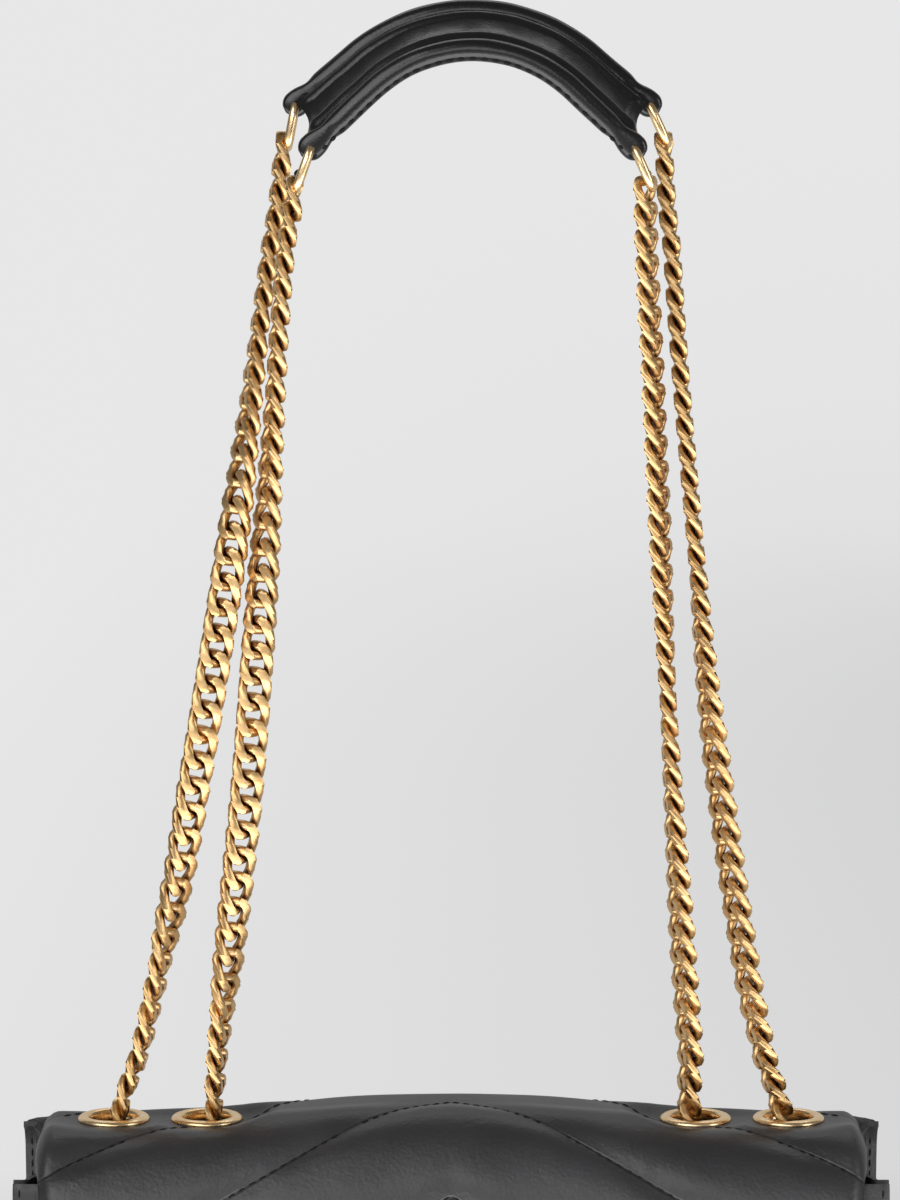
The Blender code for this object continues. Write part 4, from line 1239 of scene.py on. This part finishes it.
for name in ARCHES:
    span = arch_half(name) + LOOP

    def on_roll(along_share, round_share):
        """A point of the roll's skin."""
        distance = span * (2 * along_share - 1)
        to_tip = max(0, span - abs(distance))
        centre, normal = arch_at(name, distance)
        tongue = 1 - smooth(TONGUE_LENGTH, TONGUE_LENGTH + 4 * MM, to_tip)
        width = ROLL + (TONGUE_HALF - ROLL) * tongue
        loop = 1 - smooth(LOOP * 1.2, LOOP * 2.4, to_tip)
        height = ROLL + (LOOP - ROLL) * loop
        height *= 1 - 0.16 * math.exp(-((to_tip - 9.5 * MM) / (2 * MM)) ** 2)
        if to_tip < LOOP:
            height *= math.sqrt(max(0, 1 - (1 - to_tip / LOOP) ** 2))
            width *= 0.8 + 0.2 * math.sqrt(max(0, 1 - (1 - to_tip / LOOP) ** 2))
        angle = 2 * math.pi * round_share
        power = 1 - 0.35 * tongue
        across = powered(math.cos(angle), power)
        up = powered(math.sin(angle), power)
        ripple = noise.noise(Vector((distance * 140, angle * 0.7, ARCHES[name][0] * 90)))
        swell = 1 + 0.035 * ripple * (1 - tongue)
        if to_tip < 0.001 * MM:
            return centre
        return centre + Vector((0, width * across * swell, 0)) + normal * height * up * swell

    roll = finished("roll_" + name, mapped_grid(220, 28, on_roll, True), gloss_leather)
    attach(roll, "strap_upper")
    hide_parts("pad_roll_" + name, "pad_tab_" + name + "_left", "pad_tab_" + name + "_right")

# Shoulder piece, web
# The flat middle of the band between the rolls. It sags a little, wrinkles across the bow, has a
# raised turned edge along the back roll, and ends in a curved cut between the tongues.
WEB = 1.6 * MM
WEB_SET_IN = 0.4 * MM


def on_web(along_share, across_share):
    """A point of the web's upper face: it runs from the back roll to the front roll."""
    side = 2 * along_share - 1
    cut = 1.6 * MM * (1 - (2 * across_share - 1) ** 2)
    back, back_up = arch_at("back", side * (arch_half("back") - WEB_SET_IN - cut))
    front, front_up = arch_at("front", side * (arch_half("front") - WEB_SET_IN - cut))
    across = (front - back).normalized()
    up = (back_up + front_up).normalized()
    start = back + across * ROLL * 0.55 + up * 0.5 * MM
    end = front - across * ROLL * 0.55 + up * 0.2 * MM
    point = start + (end - start) * across_share
    sag = 1.1 * MM * math.sin(math.pi * across_share)
    to_end = (1 - abs(side)) * arch_half("back")
    inside = smooth(0, 4 * MM, to_end)
    welt = 0.75 * MM * math.exp(-((across_share - 0.17) / 0.045) ** 2)
    welt -= 0.5 * MM * math.exp(-((across_share - 0.06) / 0.05) ** 2)
    welt += 0.5 * MM * math.exp(-((to_end - 2.4 * MM) / (1.1 * MM)) ** 2)
    seam = -1.5 * MM * math.exp(-((across_share - 0.84) / 0.09) ** 2) * inside
    wave = noise.noise(Vector((side * 7, across_share * 1.3, 4.4))) * 0.3 * MM
    wave += noise.noise(Vector((side * 26, across_share * 3.4, 1.4))) * 0.07 * MM
    return point + up * (welt * inside - sag - seam + wave * math.sin(math.pi * across_share))


web = finished("web", mapped_grid(260, 60, on_web), gloss_leather)
solidified(web, WEB)
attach(web, "strap_upper")
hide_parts("pad_web")

# Shoulder piece, stitches
# Waxed black thread: one row is sewn through the band below the front roll, and one along the
# web's seam, in stitches that stand up from the leather.
lower_row = []
web_row = []
PAD_STITCHES = 18
PAD_STITCH_PITCH = 3.2 * MM
PAD_STITCH_LENGTH = 2.1 * MM
PAD_STITCH_RADIUS = 0.6 * MM
STITCH_TILT = math.radians(42)
WEB_SEAM = 0.6
for index in range(-PAD_STITCHES, PAD_STITCHES + 1):
    distance = index * PAD_STITCH_PITCH
    centre, normal = arch_at("front", distance)
    ahead = arch_at("front", distance + 0.1 * MM)[0]
    direction = (ahead - centre).normalized()
    below = -normal * math.cos(STITCH_TILT) + Vector((0, -math.sin(STITCH_TILT), 0))
    lower_row.append((centre + below * (ROLL - 0.05 * MM), direction))
    share = (distance / (arch_half("front") - 12 * MM) + 1) / 2
    if 0.03 < share < 0.97:
        point = on_web(share, WEB_SEAM)
        ahead = on_web(share + 0.002, WEB_SEAM)
        web_row.append((point, (ahead - point).normalized()))
for name, row in (("stitches_roll", lower_row), ("stitches_web", web_row)):
    piece = stitches(name, row, PAD_STITCH_LENGTH, PAD_STITCH_RADIUS)
    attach(piece, "strap_upper")

# Shoulder piece, rings
# Oval rings of round brass wire, soldered shut and gold plated. A tongue of the band is folded
# round the top of each, and a chain strand hangs on its foot.
RING_WIRE = 2.4 * MM
RING_HALF_LENGTH = 5.8 * MM
RING_HALF_WIDTH = 3.8 * MM
RING_SQUARENESS = 0.7
RING_LEANS = {("back", "left"): 11, ("front", "left"): 20, ("back", "right"): 25,
              ("front", "right"): 24}
for name in ARCHES:
    for side, hand in ((-1, "left"), (1, "right")):
        top, normal = arch_at(name, side * arch_half(name))
        lean = math.radians(RING_LEANS[name, hand])
        down = Vector((side * math.sin(lean), 0, -math.cos(lean)))
        centre = top + down * RING_HALF_LENGTH
        face = down.cross(Vector((0, 1, 0)))

        def on_ring(along_share, round_share):
            """A point of the ring's wire."""
            angle = 2 * math.pi * along_share
            cosine = powered(math.cos(angle), RING_SQUARENESS)
            sine = powered(math.sin(angle), RING_SQUARENESS)
            middle = centre + down * RING_HALF_LENGTH * cosine
            middle += Vector((0, RING_HALF_WIDTH * sine, 0))
            power = 2 / RING_SQUARENESS - 1
            out = down * powered(cosine, power) / RING_HALF_LENGTH
            out += Vector((0, powered(sine, power) / RING_HALF_WIDTH, 0))
            out.normalize()
            turn = 2 * math.pi * round_share
            return middle + (out * math.cos(turn) + face * math.sin(turn)) * RING_WIRE / 2

        ring = finished("oval_ring_" + name + "_" + hand, mapped_grid(64, 14, on_ring, True), gold)
        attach(ring, "strap_upper")
        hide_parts("ring_" + name + "_" + hand)

bpy.context.view_layer.update()
